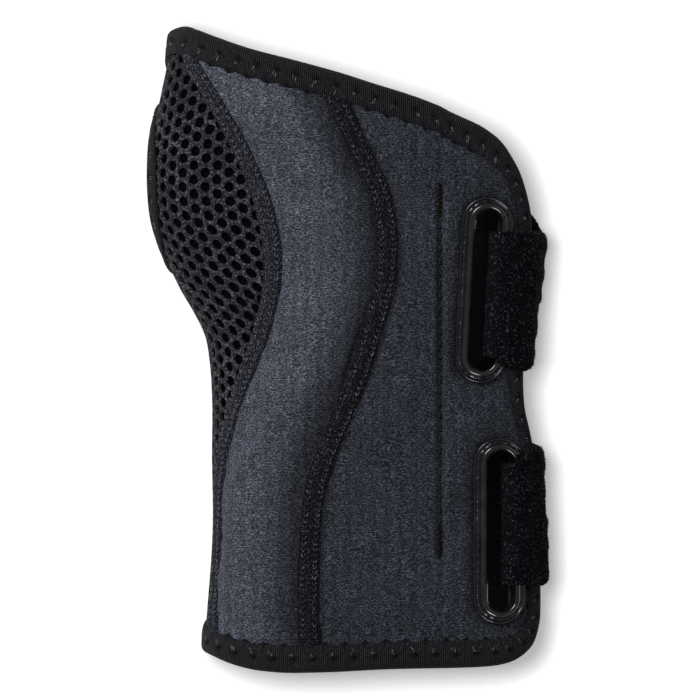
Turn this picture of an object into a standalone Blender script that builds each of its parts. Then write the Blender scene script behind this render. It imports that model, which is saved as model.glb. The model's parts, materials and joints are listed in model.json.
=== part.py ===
# Wrist splint, lying on its palm side with the back of the hand up.
# +Y runs from the forearm to the fingers, +X to the closure side, +Z up.
# All sizes are in millimetres and are turned into metres when a mesh is made.
import math
from collections import OrderedDict

import bmesh
import bpy
import numpy as np
from mathutils import Vector

for old in list(bpy.data.objects):
    bpy.data.objects.remove(old, do_unlink=True)

MM = 0.001
GAP = 0.3                      # clearance between neighbouring pieces
INNER_GAP = 0.5                # clearance inside the sleeve, where the cloth bends tighter
THUMB_GAP = 0.5                # extra clearance in the fold round the thumb hole

# The sleeve's section
HALF_WIDTH = 54.5              # from the centre line to the closure side
HALF_HEIGHT = 21.0             # from the section's middle to the back of the hand
FLAP_SQUARENESS = 3.0          # superellipse exponents of the quarters
THUMB_SQUARENESS = 2.4
PALM_SQUARENESS = 4.0
PALM_EDGE_SQUARENESS = 2.9     # of the palm towards its free edge
PALM_DROP = 9.0                # the palm side ends this much lower at the fingers
PALM_RISE = 4.0                # and this much higher at the forearm
EDGE_Y = 85.0                  # the end edges' widths are read this far from the middle

# Cloth layers
PANEL_THICK = 3.0
PANEL_CROWN = 2.0              # swell of the padded middle panel
BINDING_THICK = 0.7
BINDING_WIDTH = 8.0
THUMB_BINDING_WIDTH = 5.5
TAPE_THICK = 0.8
TAPE_WIDTH = 6.3
THUMB_TAPE_WIDTH = 4.6
PALM_TAPE_WIDTH = 6.0
STITCH_WIDTH = 0.8
STITCH_THICK = 0.5
STITCH_TOP = 45.4
STITCH_BOTTOM = -58.0

# Closure side
FLEX_INSET = 28.9              # the flap folds on a line this far from the closure side
FLEX_LINE = HALF_WIDTH - FLEX_INSET
FLAP_PIVOT_RISE = 0.3          # the fold's axis lies this much above the binding
PALM_EDGE_INSET = 7.5          # the palm panel's free edge lies this far inside the closure side
PALM_EDGE = HALF_WIDTH - PALM_EDGE_INSET

# Thumb hole, as a point and half sizes on the skin
THUMB_ANGLE = 199.0
THUMB_Y = 44.9
THUMB_HALF_ANGLE = 31.0
THUMB_HALF_LENGTH = 19.5
PALM_SEAM_ANGLE = 244.0

# Strap slots: insets from the closure side, and places along Y
UPPER_SLOT_INSET = 17.0
UPPER_SLOT_Y = 16.4
UPPER_SLOT_LEAN = 0.052
LOWER_SLOT_INSET = 12.8
LOWER_SLOT_Y = -50.6
LOWER_SLOT_LEAN = 0.0
SLOT_WIDTH = 7.8
SLOT_LENGTH = 45.4
FRAME_WALL = 3.1
FRAME_THICK = 0.9
FRAME_RIM = 2.1                # height of the raised inner rim
BACKING_THICK = 1.0
PANEL_SLOT_EXTRA = 0.5         # the cloth is cut this much wider than the slot

# Straps
STRAP_THICK = 1.5
STRAP_WIDTH = 38.4
UPPER_STRAP_Y = 13.4
UPPER_STRAP_LEAN = 0.10
LOWER_STRAP_Y = -46.4
LOWER_STRAP_LEAN = 0.0
STRAP_SIDE = 0.45              # centre of the strap beyond the closure side
STRAP_HINGE_RISE = 2.0         # the strap's bend lies this far above the section's middle
STRAP_BEND = 15.0              # radius where the strap turns under the palm
STRAP_END = -22.0              # X of the strap's free end
STRAP_SEWN = 5.0               # length of the strap's inner leg past the slot
HOOK_THICK = 1.1
HOOK_LENGTH = 24.0
HOOK_INSET = 1.0

# Stays
STAY_WIDTH = 20.0
STAY_THICK = 1.5
STAY_LENGTH = 121.0
STAY_INSET = 12.6              # the sliding stay's middle lies this far inside the fold line
STAY_X = FLEX_LINE - STAY_INSET
STAY_Y = -15.5
POCKET_WALL = 0.9
POCKET_OVERLAP = 2.0           # the pocket is this much longer at each end
PALM_STAY_WIDTH = 28.0
PALM_STAY_LENGTH = 95.0
PALM_STAY_Y = -22.5
PAD_THICK = 3.0
PAD_MARGIN = 6.0

END_STEPS = (0.0, 0.03, 0.07)  # rows of faces along the sleeve: closer steps at its ends
MIDDLE_ROWS = 15

# Outlines read along the sleeve: (Y, half width) of the thumb side
THUMB_SIDE = ((-90.0, 40.0), (-80.0, 39.8), (-70.0, 39.1), (-60.0, 38.3), (-50.0, 37.8), (-30.0, 38.0),
              (-13.0, 38.0), (-3.0, 38.7), (4.0, 40.0), (10.0, 42.9), (17.0, 47.0), (24.0, 50.2),
              (30.0, 52.5), (37.0, 54.7), (45.0, 55.7), (54.0, 55.3), (60.5, 54.4), (67.0, 53.1),
              (74.0, 51.7), (80.0, 50.4), (90.0, 49.2))
# (X, Y) of the edge at the fingers and at the forearm, binding included
FINGER_EDGE = ((-53.0, 86.9), (-50.3, 89.1), (-47.4, 90.0), (-43.6, 89.0), (-38.7, 87.3), (-27.9, 83.7),
               (-14.8, 80.3), (-2.8, 77.0), (7.5, 73.7), (18.1, 70.4), (26.7, 67.1), (34.0, 63.8))
FOREARM_EDGE = ((-41.0, -84.6), (-38.0, -85.8), (-35.4, -86.9), (-28.0, -89.0), (-20.3, -89.9),
                (-8.1, -89.9), (11.4, -89.0), (36.2, -88.6))
# (Y, X) of the seams on the back of the hand
DORSAL_SEAM = ((-90.0, -10.8), (-79.7, -10.8), (-64.4, -10.9), (-51.3, -10.3), (-37.1, -8.5), (-22.8, -3.2),
               (-8.6, 2.6), (5.3, 7.0), (16.4, 10.0), (30.4, 11.0), (43.2, 8.8), (56.0, 2.9), (68.8, -3.1),
               (90.0, -13.0))
THUMB_SEAM = ((-90.0, -37.4), (-78.6, -37.6), (-64.4, -36.7), (-51.3, -36.2), (-40.7, -35.9), (-29.8, -35.0),
              (-17.8, -32.0), (-3.6, -27.0), (3.3, -24.5), (12.3, -22.0), (21.2, -20.9), (28.4, -21.1),
              (37.3, -22.8), (44.3, -24.8), (50.1, -27.3), (61.9, -33.1), (71.0, -38.4), (78.6, -43.0),
              (90.0, -46.5))
# The flap's rim, fingers to forearm: inset from the closure side and Y of the edge, and how far
# inwards, in X and in Y, its binding reaches
FLAP_RIM = ((25.8, 65.9, 1.2, 7.8), (22.4, 64.4, 2.2, 7.5), (16.7, 61.7, 3.2, 7.3), (11.6, 57.8, 4.2, 6.5), (8.8, 53.8, 4.3, 5.4),
            (6.8, 50.0, 4.2, 3.4), (4.8, 43.7, 4.0, 0.8), (3.5, 37.1, 4.0, 0.0), (3.9, 26.0, 4.0, 0.0),
            (4.5, 14.0, 4.0, 0.0), (5.1, 2.0, 3.9, 0.0), (5.7, -9.0, 3.7, 0.0), (5.3, -16.4, 3.5, 0.0),
            (4.0, -23.1, 2.6, 0.0), (2.9, -30.0, 2.0, 0.0), (2.3, -38.0, 2.4, 0.0), (2.0, -46.0, 2.8, 0.0),
            (1.6, -54.0, 3.2, 0.0), (1.2, -62.0, 3.6, 0.0), (1.0, -70.0, 3.8, 0.0), (1.3, -76.6, 3.9, -1.6),
            (3.4, -83.2, 4.0, -4.5), (7.5, -86.6, 3.0, -6.6), (12.0, -87.9, 1.2, -7.6), (17.0, -88.4, 0.0, -8.0),
            (22.6, -88.6, 0.0, -8.0))


def curve(points):
    # Smooth function through the points, straight beyond the ends
    at = np.array([point[0] for point in points])
    value = np.array([point[1] for point in points])
    slope = np.gradient(value, at)

    def read(place):
        place = min(max(place, at[0]), at[-1])
        k = min(int(np.searchsorted(at, place, side="right")) - 1, len(at) - 2)
        span = at[k + 1] - at[k]
        t = (place - at[k]) / span
        h00 = 2 * t ** 3 - 3 * t ** 2 + 1
        h10 = t ** 3 - 2 * t ** 2 + t
        h01 = 3 * t ** 2 - 2 * t ** 3
        h11 = t ** 3 - t ** 2
        return float(h00 * value[k] + h10 * span * slope[k] + h01 * value[k + 1] + h11 * span * slope[k + 1])

    return read


def mix(a, b, t):
    return a + (b - a) * t


def spread(a, b, count):
    return [mix(a, b, k / (count - 1)) for k in range(count)]


row_shares = list(END_STEPS) + spread(0.12, 0.88, MIDDLE_ROWS) + [1.0 - step for step in reversed(END_STEPS)]
ROWS = len(row_shares) - 1
thumb_side = curve(THUMB_SIDE)
finger_edge = curve(FINGER_EDGE)
forearm_edge = curve(FOREARM_EDGE)
dorsal_seam = curve(DORSAL_SEAM)
thumb_seam = curve(THUMB_SEAM)

MID_Z = STRAP_THICK + GAP + HOOK_THICK + GAP + HALF_HEIGHT
PANEL_EDGE = BINDING_THICK + 2 * GAP           # the cloth ends this far inside a bound edge


def squareness(x, z):
    if z < 0:
        return PALM_EDGE_SQUARENESS if x >= 0 else PALM_SQUARENESS
    return FLAP_SQUARENESS if x >= 0 else THUMB_SQUARENESS


def half_width(x, y):
    return HALF_WIDTH if x >= 0 else thumb_side(y)


def unit_point(angle):
    # Point of the unit superellipse in the direction of the angle, in degrees
    c = math.cos(math.radians(angle))
    s = math.sin(math.radians(angle))
    n = squareness(c, s)
    r = (abs(c) ** n + abs(s) ** n) ** (-1.0 / n)
    return r * c, r * s, n


def skin(angle, y, lift):
    # Point on the sleeve, raised by lift from the cloth's outer face
    u, w, n = unit_point(angle)
    a = half_width(u, y)
    across = math.copysign(abs(u) ** (n - 1) / a, u)
    upward = math.copysign(abs(w) ** (n - 1) / HALF_HEIGHT, w)
    size = math.hypot(across, upward)
    return Vector((a * u + lift * across / size, y, MID_Z + HALF_HEIGHT * w + lift * upward / size))


def front_angle(x, y):
    u = x / half_width(x, y)
    n = squareness(x, 1.0)
    w = max(1.0 - abs(u) ** n, 1e-6) ** (1.0 / n)
    return math.degrees(math.atan2(w, u))


def palm_angle(x, y):
    u = x / half_width(x, y)
    n = squareness(x, -1.0)
    w = max(1.0 - abs(u) ** n, 1e-6) ** (1.0 / n)
    return 360.0 - math.degrees(math.atan2(w, u))


def front(x, y, lift):
    return skin(front_angle(x, y), y, lift)


def front_under(x, y, lift):
    # The same at a lift, for the X that the raised point itself should have
    foot = x
    for _ in range(6):
        foot += x - front(foot, y, lift).x
    return front(foot, y, lift)


def walk(angle, y, distance):
    # Angle reached by going the distance along the section
    step = math.copysign(0.5, distance)
    left = abs(distance)
    here = skin(angle, y, 0.0)
    while left > 0:
        ahead = skin(angle + step, y, 0.0)
        length = (ahead - here).length
        if length > left:
            return angle + step * left / length
        left -= length
        angle += step
        here = ahead
    return angle


def top(angle):
    u, w, _ = unit_point(angle)
    return finger_edge(u * half_width(u, EDGE_Y)) - PALM_DROP * max(0.0, -w)


def bottom(angle):
    u, w, _ = unit_point(angle)
    return forearm_edge(u * half_width(u, -EDGE_Y)) + PALM_RISE * max(0.0, -w)


def on_panel(left, right, u, v, inset):
    # Angle and Y of a point between two seams, at shares u across and v along
    y = mix(-EDGE_Y, EDGE_Y, v)
    angle = 90.0
    for _ in range(10):
        angle = mix(left(y), right(y), u)
        y = mix(bottom(angle) + inset, top(angle) - inset, v)
    return angle, y


# Materials
def cloth(name, colour, roughness, metallic=0.0):
    material = bpy.data.materials.new(name)
    material.use_nodes = True
    shader = material.node_tree.nodes["Principled BSDF"]
    shader.inputs["Base Color"].default_value = (*colour, 1.0)
    shader.inputs["Roughness"].default_value = roughness
    shader.inputs["Metallic"].default_value = metallic
    return material


GREY_KNIT = (0.052, 0.056, 0.072)
DARK_KNIT = (0.022, 0.024, 0.032)
BLACK_MESH = (0.010, 0.010, 0.013)
BLACK_TAPE = (0.013, 0.013, 0.017)
BLACK_PILE = (0.005, 0.005, 0.007)
BLACK_GLOSS = (0.010, 0.009, 0.011)
BLACK_THREAD = (0.006, 0.006, 0.008)
LINER = (0.015, 0.015, 0.018)
ALLOY = (0.62, 0.63, 0.65)

# Empties on the joint axes
pivots = OrderedDict()


def pivot(name, place, parent=None):
    empty = bpy.data.objects.new(name, None)
    bpy.context.collection.objects.link(empty)
    origin = pivots[parent][1] if parent else Vector((0.0, 0.0, 0.0))
    empty.location = (place - origin) * MM
    if parent:
        empty.parent = pivots[parent][0]
    pivots[name] = (empty, place)


def shell(name, outer, inner, colour, roughness, under=None, ring=False, tube=False, hole=None, metallic=0.0):
    # Closed body between two grids of points. ring closes the rows, tube closes the columns.
    origin = pivots[under][1] if under else Vector((0.0, 0.0, 0.0))
    rows = len(outer)
    columns = len(outer[0])
    mesh = bmesh.new()
    over = [[mesh.verts.new((point - origin) * MM) for point in row] for row in outer]
    below = [[mesh.verts.new((point - origin) * MM) for point in row] for row in inner]
    border = set()
    for i in range(rows if ring else rows - 1):
        for j in range(columns if tube else columns - 1):
            if hole and hole(i, j):
                continue
            i2 = (i + 1) % rows
            j2 = (j + 1) % columns
            corners = ((i, j), (i2, j), (i2, j2), (i, j2))
            mesh.faces.new([over[a][b] for a, b in corners])
            mesh.faces.new([below[a][b] for a, b in reversed(corners)])
            for k in range(4):
                edge = (corners[k], corners[(k + 1) % 4])
                if (edge[1], edge[0]) in border:
                    border.remove((edge[1], edge[0]))
                else:
                    border.add(edge)
    for p, q in border:
        mesh.faces.new((over[q[0]][q[1]], over[p[0]][p[1]], below[p[0]][p[1]], below[q[0]][q[1]]))
    loose = [vert for vert in mesh.verts if not vert.link_faces]
    bmesh.ops.delete(mesh, geom=loose, context="VERTS")
    bmesh.ops.recalc_face_normals(mesh, faces=mesh.faces)
    data = bpy.data.meshes.new(name)
    mesh.to_mesh(data)
    mesh.free()
    data.shade_smooth()
    data.set_sharp_from_angle(angle=math.radians(35.0))
    data.materials.append(cloth(name + "_finish", colour, roughness, metallic))
    body = bpy.data.objects.new(name, data)
    bpy.context.collection.objects.link(body)
    if under:
        body.parent = pivots[under][0]
    return body


def grid(rows, columns, place):
    return [[place(i, j) for j in range(columns)] for i in range(rows)]


# Joint axes
binding_top = GAP + BINDING_THICK
flex_z = front(FLEX_LINE, 0.0, binding_top + FLAP_PIVOT_RISE).z
hinge_z = MID_Z + STRAP_HINGE_RISE
strap_side = HALF_WIDTH + STRAP_SIDE
strap_axis = strap_side + STRAP_THICK / 2
pivot("flap_pivot", Vector((FLEX_LINE, 0.0, flex_z)))
pivot("upper_strap_pivot", Vector((strap_axis, UPPER_STRAP_Y + STRAP_WIDTH / 2, hinge_z)), "flap_pivot")
pivot("lower_strap_pivot", Vector((strap_axis, LOWER_STRAP_Y + STRAP_WIDTH / 2, hinge_z)), "flap_pivot")
pivot("stay_slide", Vector((STAY_X, STAY_Y, front(STAY_X, 0.0, 0.0).z)))


# Panels of the sleeve, butted at the seams
def thumb_seam_at(y):
    return front_angle(thumb_seam(y), y)


def dorsal_seam_at(y):
    return front_angle(dorsal_seam(y), y)


def flex_line_at(y):
    return front_angle(FLEX_LINE - GAP, y)


def palm_seam_at(y):
    return PALM_SEAM_ANGLE


def palm_edge_at(y):
    return palm_angle(PALM_EDGE - PANEL_EDGE, y)


def past(seam, distance):
    return lambda y: walk(seam(y), y, distance)


def panel(name, left, right, columns, colour, crown=0.0, shares=None):
    shares = shares or spread(0.0, 1.0, columns)

    def place(face):
        def at(i, j):
            u = shares[j]
            v = row_shares[i]
            angle, y = on_panel(left, right, u, v, PANEL_EDGE)
            lift = -PANEL_THICK
            if face:
                swell = max(0.0, min(1.0, (u - shares[1]) / (shares[-2] - shares[1])))
                ends = min(1.0, max(0.0, (min(v, 1.0 - v) - 0.06) * 8.0))
                lift = crown * math.sin(math.pi * swell) ** 0.7 * ends ** 0.5
            return skin(angle, y, lift)
        return at

    return shell(name, grid(ROWS + 1, len(shares), place(True)), grid(ROWS + 1, len(shares), place(False)),
                 colour, 0.9)


half_gap = GAP / 2
panel("dorsal_panel", past(dorsal_seam_at, -half_gap), flex_line_at, 5, DARK_KNIT)
tape_share = 0.17
panel("middle_panel", past(thumb_seam_at, -half_gap), past(dorsal_seam_at, half_gap), 9, GREY_KNIT,
      crown=PANEL_CROWN, shares=[0.0] + spread(tape_share, 1.0 - tape_share, 7) + [1.0])
panel("palm_panel", past(palm_seam_at, half_gap), palm_edge_at, 8, DARK_KNIT)


# Thumb-side panel with its hole: the grid's cells around the hole are drawn out to an ellipse
MESH_COLUMNS = 18
HOLE_ROWS = (13, 17)
HOLE_COLUMNS = (6, 15)
hole_row = sum(HOLE_ROWS) / 2
hole_column = sum(HOLE_COLUMNS) / 2
hole_half_rows = (HOLE_ROWS[1] - HOLE_ROWS[0]) / 2
hole_half_columns = (HOLE_COLUMNS[1] - HOLE_COLUMNS[0]) / 2
HOLE_REACH = 1.5


def thumb_point(i, j, lift):
    angle, y = on_panel(past(thumb_seam_at, half_gap), past(palm_seam_at, -half_gap), j / MESH_COLUMNS,
                        row_shares[i], PANEL_EDGE)
    across = (j - hole_column) / hole_half_columns
    along = (i - hole_row) / hole_half_rows
    reach = max(abs(across), abs(along))
    pull = max(0.0, min(1.0, (HOLE_REACH - reach) / (HOLE_REACH - 1.0)))
    if reach > 0:
        turn = math.atan2(along, across)
        edge_angle = THUMB_ANGLE + reach * THUMB_HALF_ANGLE * math.cos(turn)
        edge_y = THUMB_Y + reach * THUMB_HALF_LENGTH * math.sin(turn)
        angle = mix(angle, edge_angle, pull)
        y = mix(y, edge_y, pull)
    return skin(angle, y, lift)


def in_thumb_hole(i, j):
    return HOLE_ROWS[0] <= i < HOLE_ROWS[1] and HOLE_COLUMNS[0] <= j < HOLE_COLUMNS[1]


shell("thumb_mesh", grid(ROWS + 1, MESH_COLUMNS + 1, lambda i, j: thumb_point(i, j, 0.0)),
      grid(ROWS + 1, MESH_COLUMNS + 1, lambda i, j: thumb_point(i, j, -PANEL_THICK)), BLACK_MESH, 0.85,
      hole=in_thumb_hole)


# Seam tapes over the butted panels, between the bindings; the one on the palm lies inside
def tape(name, seam, width, low):
    def place(lift):
        def at(i, j):
            line = past(seam, mix(-0.5, 0.5, j / 2) * width)
            angle, y = on_panel(line, line, 0.0, row_shares[i], BINDING_WIDTH + GAP)
            return skin(angle, y, lift)
        return at

    shell(name, grid(ROWS + 1, 3, place(low + TAPE_THICK)), grid(ROWS + 1, 3, place(low)), BLACK_TAPE, 0.8)


tape("dorsal_seam_tape", dorsal_seam_at, TAPE_WIDTH, GAP)
tape("thumb_seam_tape", thumb_seam_at, THUMB_TAPE_WIDTH, GAP)
tape("palm_seam_tape", palm_seam_at, PALM_TAPE_WIDTH, -PANEL_THICK - GAP - TAPE_THICK)


# Bindings: tape folded over an edge. Each fold runs from its outer tip to its inner tip, as pairs of
# share from the edge inwards and lift, on its outer and on its inner face.
inside = -PANEL_THICK - GAP                    # lift of what lies on the inner face


def fold(clear, clear_inside):
    near = clear
    far = -PANEL_THICK - clear_inside
    high = near + BINDING_THICK
    low = far - BINDING_THICK
    middle = -PANEL_THICK / 2
    outer = ((1.0, high), (0.5, high), (0.0, high), (0.0, middle), (0.0, low), (0.5, low), (1.0, low))
    inner = ((1.0, near), (0.5, near), (0.0, near), (0.0, middle), (0.0, far), (0.5, far), (1.0, far))
    return outer, inner


FOLD_OUTER, FOLD_INNER = fold(GAP, INNER_GAP)
THUMB_FOLD_OUTER, THUMB_FOLD_INNER = fold(INNER_GAP, 2 * INNER_GAP)       # the cloth bends more there


def fold_depth(share, k, width, face):
    # The turn of the fold is one thickness deep, its legs are shares of the width
    if not face and k in (2, 3, 4):
        return BINDING_THICK
    return share * width


def end_binding(name, first, last, stations, edge, inward):
    angles = spread(first, last, stations)

    def place(fold, face):
        def at(i, k):
            share, lift = fold[k]
            depth = fold_depth(share, k, BINDING_WIDTH, face)
            return skin(angles[i], edge(angles[i]) + inward * depth, lift)
        return at

    shell(name, grid(stations, 7, place(FOLD_OUTER, True)), grid(stations, 7, place(FOLD_INNER, False)),
          BLACK_TAPE, 0.75)


flex_angle = front_angle(FLEX_LINE - GAP, 0.0)
palm_edge_angle = palm_angle(PALM_EDGE, 0.0)
end_binding("finger_binding", flex_angle, palm_edge_angle, 36, top, -1.0)
end_binding("forearm_binding", flex_angle, palm_edge_angle, 36, bottom, 1.0)


palm_inner_angle = walk(palm_edge_angle, 0.0, -BINDING_WIDTH)
palm_binding_low = max(bottom(palm_edge_angle), bottom(palm_inner_angle)) + BINDING_WIDTH + GAP
palm_binding_high = min(top(palm_edge_angle), top(palm_inner_angle)) - BINDING_WIDTH - GAP


def palm_binding_point(i, fold, k, face):
    share, lift = fold[k]
    y = mix(palm_binding_low, palm_binding_high, row_shares[i])
    depth = fold_depth(share, k, BINDING_WIDTH, face)
    return skin(walk(palm_edge_angle, y, -depth) if depth else palm_edge_angle, y, lift)


shell("palm_binding", grid(ROWS + 1, 7, lambda i, k: palm_binding_point(i, FOLD_OUTER, k, True)),
      grid(ROWS + 1, 7, lambda i, k: palm_binding_point(i, FOLD_INNER, k, False)), BLACK_TAPE, 0.75)

THUMB_STATIONS = 28


def thumb_binding_point(i, fold, k, face):
    share, lift = fold[k]
    turn = 2 * math.pi * i / THUMB_STATIONS
    depth = fold_depth(share, k, THUMB_BINDING_WIDTH, face) - PANEL_EDGE - THUMB_GAP
    y = THUMB_Y + (THUMB_HALF_LENGTH + depth) * math.sin(turn)
    angle = walk(THUMB_ANGLE + THUMB_HALF_ANGLE * math.cos(turn), y, depth * math.cos(turn))
    return skin(angle, y, lift)


shell("thumb_binding", grid(THUMB_STATIONS, 7, lambda i, k: thumb_binding_point(i, THUMB_FOLD_OUTER, k, True)),
      grid(THUMB_STATIONS, 7, lambda i, k: thumb_binding_point(i, THUMB_FOLD_INNER, k, False)), BLACK_TAPE, 0.75,
      ring=True)

# Closure flap: rim points from the fingers to the forearm, joined to the flex line at both ends
flex_start = FLEX_LINE + GAP
rim = [(flex_start, finger_edge(flex_start), 0.0, BINDING_WIDTH)]
rim += [(HALF_WIDTH - inset, y, reach_x, reach_y) for inset, y, reach_x, reach_y in FLAP_RIM]
rim += [(flex_start, forearm_edge(flex_start), 0.0, -BINDING_WIDTH)]


def rim_depth(point, depth):
    # Point of the flap the given share of the binding's reach inside the rim
    x, y, reach_x, reach_y = point
    return x - reach_x * depth, y - reach_y * depth


def flap_binding_point(i, fold, k, face):
    share, lift = fold[k]
    x, y, reach_x, reach_y = rim[i]
    if not face and k in (2, 3, 4):
        share = BINDING_THICK / math.hypot(reach_x, reach_y)
    x, y = rim_depth(rim[i], share)
    return front(x, y, lift)


shell("flap_binding", grid(len(rim), 7, lambda i, k: flap_binding_point(i, FOLD_OUTER, k, True)),
      grid(len(rim), 7, lambda i, k: flap_binding_point(i, FOLD_INNER, k, False)), BLACK_TAPE, 0.75,
      under="flap_pivot")


class Slot:
    # A strap slot: its centre, lean and the X of its sides at a given Y
    def __init__(self, inset, y, lean):
        self.x = HALF_WIDTH - inset
        self.y = y
        self.lean = lean
        self.half_cut = SLOT_LENGTH / 2 + PANEL_SLOT_EXTRA

    def side(self, y, offset):
        return self.x + self.lean * (y - self.y) + offset


upper_slot = Slot(UPPER_SLOT_INSET, UPPER_SLOT_Y, UPPER_SLOT_LEAN)
lower_slot = Slot(LOWER_SLOT_INSET, LOWER_SLOT_Y, LOWER_SLOT_LEAN)
half_cut_width = SLOT_WIDTH / 2 + PANEL_SLOT_EXTRA

# The flap's cloth ends inside the bound rim, along the same points
def drawn_in(point):
    x, y, reach_x, reach_y = point
    share = PANEL_EDGE / math.hypot(reach_x, reach_y)
    return x - reach_x * share, y - reach_y * share


cloth_rim = [drawn_in(point) for point in rim]
CORNER_POINTS = 5              # rim points from the fold line to the flap's corner, at both ends
last_corner = len(rim) - CORNER_POINTS
finger_rim = cloth_rim[:CORNER_POINTS + 1]
side_rim = cloth_rim[CORNER_POINTS:last_corner + 1]
forearm_rim = cloth_rim[last_corner:]


def finger_rim_y(x):
    return float(np.interp(x, [point[0] for point in finger_rim], [point[1] for point in finger_rim]))


def side_rim_x(y):
    return float(np.interp(-y, [-point[1] for point in side_rim], [point[0] for point in side_rim]))


def forearm_rim_y(x):
    return float(np.interp(-x, [-point[0] for point in forearm_rim], [point[1] for point in forearm_rim]))


def bound_edge_x(y):
    points = rim[CORNER_POINTS:last_corner + 1]
    return float(np.interp(-y, [-point[1] for point in points], [point[0] for point in points]))


# The flap's rows: finger end, upper slot, bridge, lower slot, forearm end
END_ROWS = 4
SLOT_ROWS = 6
BRIDGE_ROWS = 4
slots_high = upper_slot.y + upper_slot.half_cut
slots_low = lower_slot.y - lower_slot.half_cut
bridge_high = upper_slot.y - upper_slot.half_cut
bridge_low = lower_slot.y + lower_slot.half_cut
flap_rows = [("end", share) for share in spread(1.0, 1.0 / END_ROWS, END_ROWS)]
flap_rows += [("row", y) for y in spread(slots_high, bridge_high, SLOT_ROWS + 1)]
flap_rows += [("row", y) for y in spread(bridge_high, bridge_low, BRIDGE_ROWS + 1)[1:-1]]
flap_rows += [("row", y) for y in spread(bridge_low, slots_low, SLOT_ROWS + 1)]
flap_rows += [("foot", share) for share in spread(1.0 / END_ROWS, 1.0, END_ROWS)]
FLAP_COLUMNS = (3, 2, 4)       # left of the slots, across them, right of them


def slot_middle(y):
    # Middle of the slots at any Y, blended between the two
    share = max(0.0, min(1.0, (y - bridge_low) / (bridge_high - bridge_low)))
    low = lower_slot.side(min(max(y, slots_low), bridge_low), 0.0)
    high = upper_slot.side(min(max(y, bridge_high), slots_high), 0.0)
    return mix(low, high, share)


def column_x(y, j):
    left = slot_middle(y) - half_cut_width
    right = slot_middle(y) + half_cut_width
    if j <= FLAP_COLUMNS[0]:
        return mix(flex_start, left, j / FLAP_COLUMNS[0])
    if j <= FLAP_COLUMNS[0] + FLAP_COLUMNS[1]:
        return mix(left, right, (j - FLAP_COLUMNS[0]) / FLAP_COLUMNS[1])
    return mix(right, side_rim_x(y), (j - FLAP_COLUMNS[0] - FLAP_COLUMNS[1]) / FLAP_COLUMNS[2])


def flap_point(i, j, lift):
    kind, value = flap_rows[i]
    if kind == "row":
        return front(column_x(value, j), value, lift)
    start_y = slots_high if kind == "end" else slots_low
    corner_x, corner_y = cloth_rim[CORNER_POINTS if kind == "end" else last_corner]
    start_x = column_x(start_y, j)
    if j == sum(FLAP_COLUMNS):
        y = mix(start_y, corner_y, value)
        return front(side_rim_x(y), y, lift)
    share = (start_x - flex_start) / (side_rim_x(start_y) - flex_start)
    end_x = mix(flex_start, corner_x, share)
    end_y = finger_rim_y(end_x) if kind == "end" else forearm_rim_y(end_x)
    return front(mix(start_x, end_x, value), mix(start_y, end_y, value), lift)


flap_row_count = len(flap_rows)
first_slot_row = END_ROWS
second_slot_row = END_ROWS + SLOT_ROWS + BRIDGE_ROWS


def in_slot(i, j):
    across = FLAP_COLUMNS[0] <= j < FLAP_COLUMNS[0] + FLAP_COLUMNS[1]
    along = first_slot_row <= i < first_slot_row + SLOT_ROWS or second_slot_row <= i < second_slot_row + SLOT_ROWS
    return across and along


shell("closure_flap", grid(flap_row_count, sum(FLAP_COLUMNS) + 1, lambda i, j: flap_point(i, j, 0.0)),
      grid(flap_row_count, sum(FLAP_COLUMNS) + 1, lambda i, j: flap_point(i, j, -PANEL_THICK)), DARK_KNIT, 0.9,
      under="flap_pivot", hole=in_slot)

# Row of thread along the fold, on the sleeve's side of it
stitch_edge = FLEX_LINE - 2 * GAP
shell("fold_stitching",
      grid(2, 2, lambda i, j: front(stitch_edge - STITCH_WIDTH * j, (STITCH_BOTTOM, STITCH_TOP)[i],
                                    GAP + STITCH_THICK)),
      grid(2, 2, lambda i, j: front(stitch_edge - STITCH_WIDTH * j, (STITCH_BOTTOM, STITCH_TOP)[i], GAP)),
      BLACK_THREAD, 0.7)

# Slot frames and the backing rings inside the flap
FRAME_TURNS = 9


def stadium(slot, half_width_at, i):
    # Point of the outline round a slot: two half circles joined by straight runs
    half = i // FRAME_TURNS
    turn = math.pi * (i % FRAME_TURNS) / (FRAME_TURNS - 1) + math.pi * half
    straight = (SLOT_LENGTH - SLOT_WIDTH) / 2
    x = half_width_at * math.cos(turn)
    y = half_width_at * math.sin(turn) + (straight if half == 0 else -straight)
    return slot.x + x + slot.lean * y, slot.y + y - slot.lean * x


def slot_ring(name, slot, profile, floor, colour, roughness):
    def place(lifts):
        def at(i, k):
            reach, lift = lifts[k]
            x, y = stadium(slot, SLOT_WIDTH / 2 + reach, i)
            return front(x, y, lift)
        return at

    flat = [(reach, floor) for reach, _ in profile]
    shell(name, grid(2 * FRAME_TURNS, len(profile), place(profile)), grid(2 * FRAME_TURNS, len(profile), place(flat)),
          colour, roughness, under="flap_pivot", ring=True)


rim_share = FRAME_WALL * 0.4
FRAME_PROFILE = ((0.0, GAP + FRAME_RIM * 0.8), (rim_share * 0.5, GAP + FRAME_RIM), (rim_share, GAP + FRAME_RIM * 0.8),
                 (rim_share * 1.4, GAP + FRAME_THICK), (FRAME_WALL * 0.85, GAP + FRAME_THICK),
                 (FRAME_WALL, GAP + FRAME_THICK * 0.5))
BACKING_PROFILE = ((PANEL_SLOT_EXTRA + 2 * GAP, inside), (FRAME_WALL, inside))
for slot_name, slot in (("upper", upper_slot), ("lower", lower_slot)):
    slot_ring(slot_name + "_slot_frame", slot, FRAME_PROFILE, GAP, BLACK_GLOSS, 0.25)
    slot_ring(slot_name + "_slot_backing", slot, BACKING_PROFILE, inside - BACKING_THICK, BLACK_GLOSS, 0.45)


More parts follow.
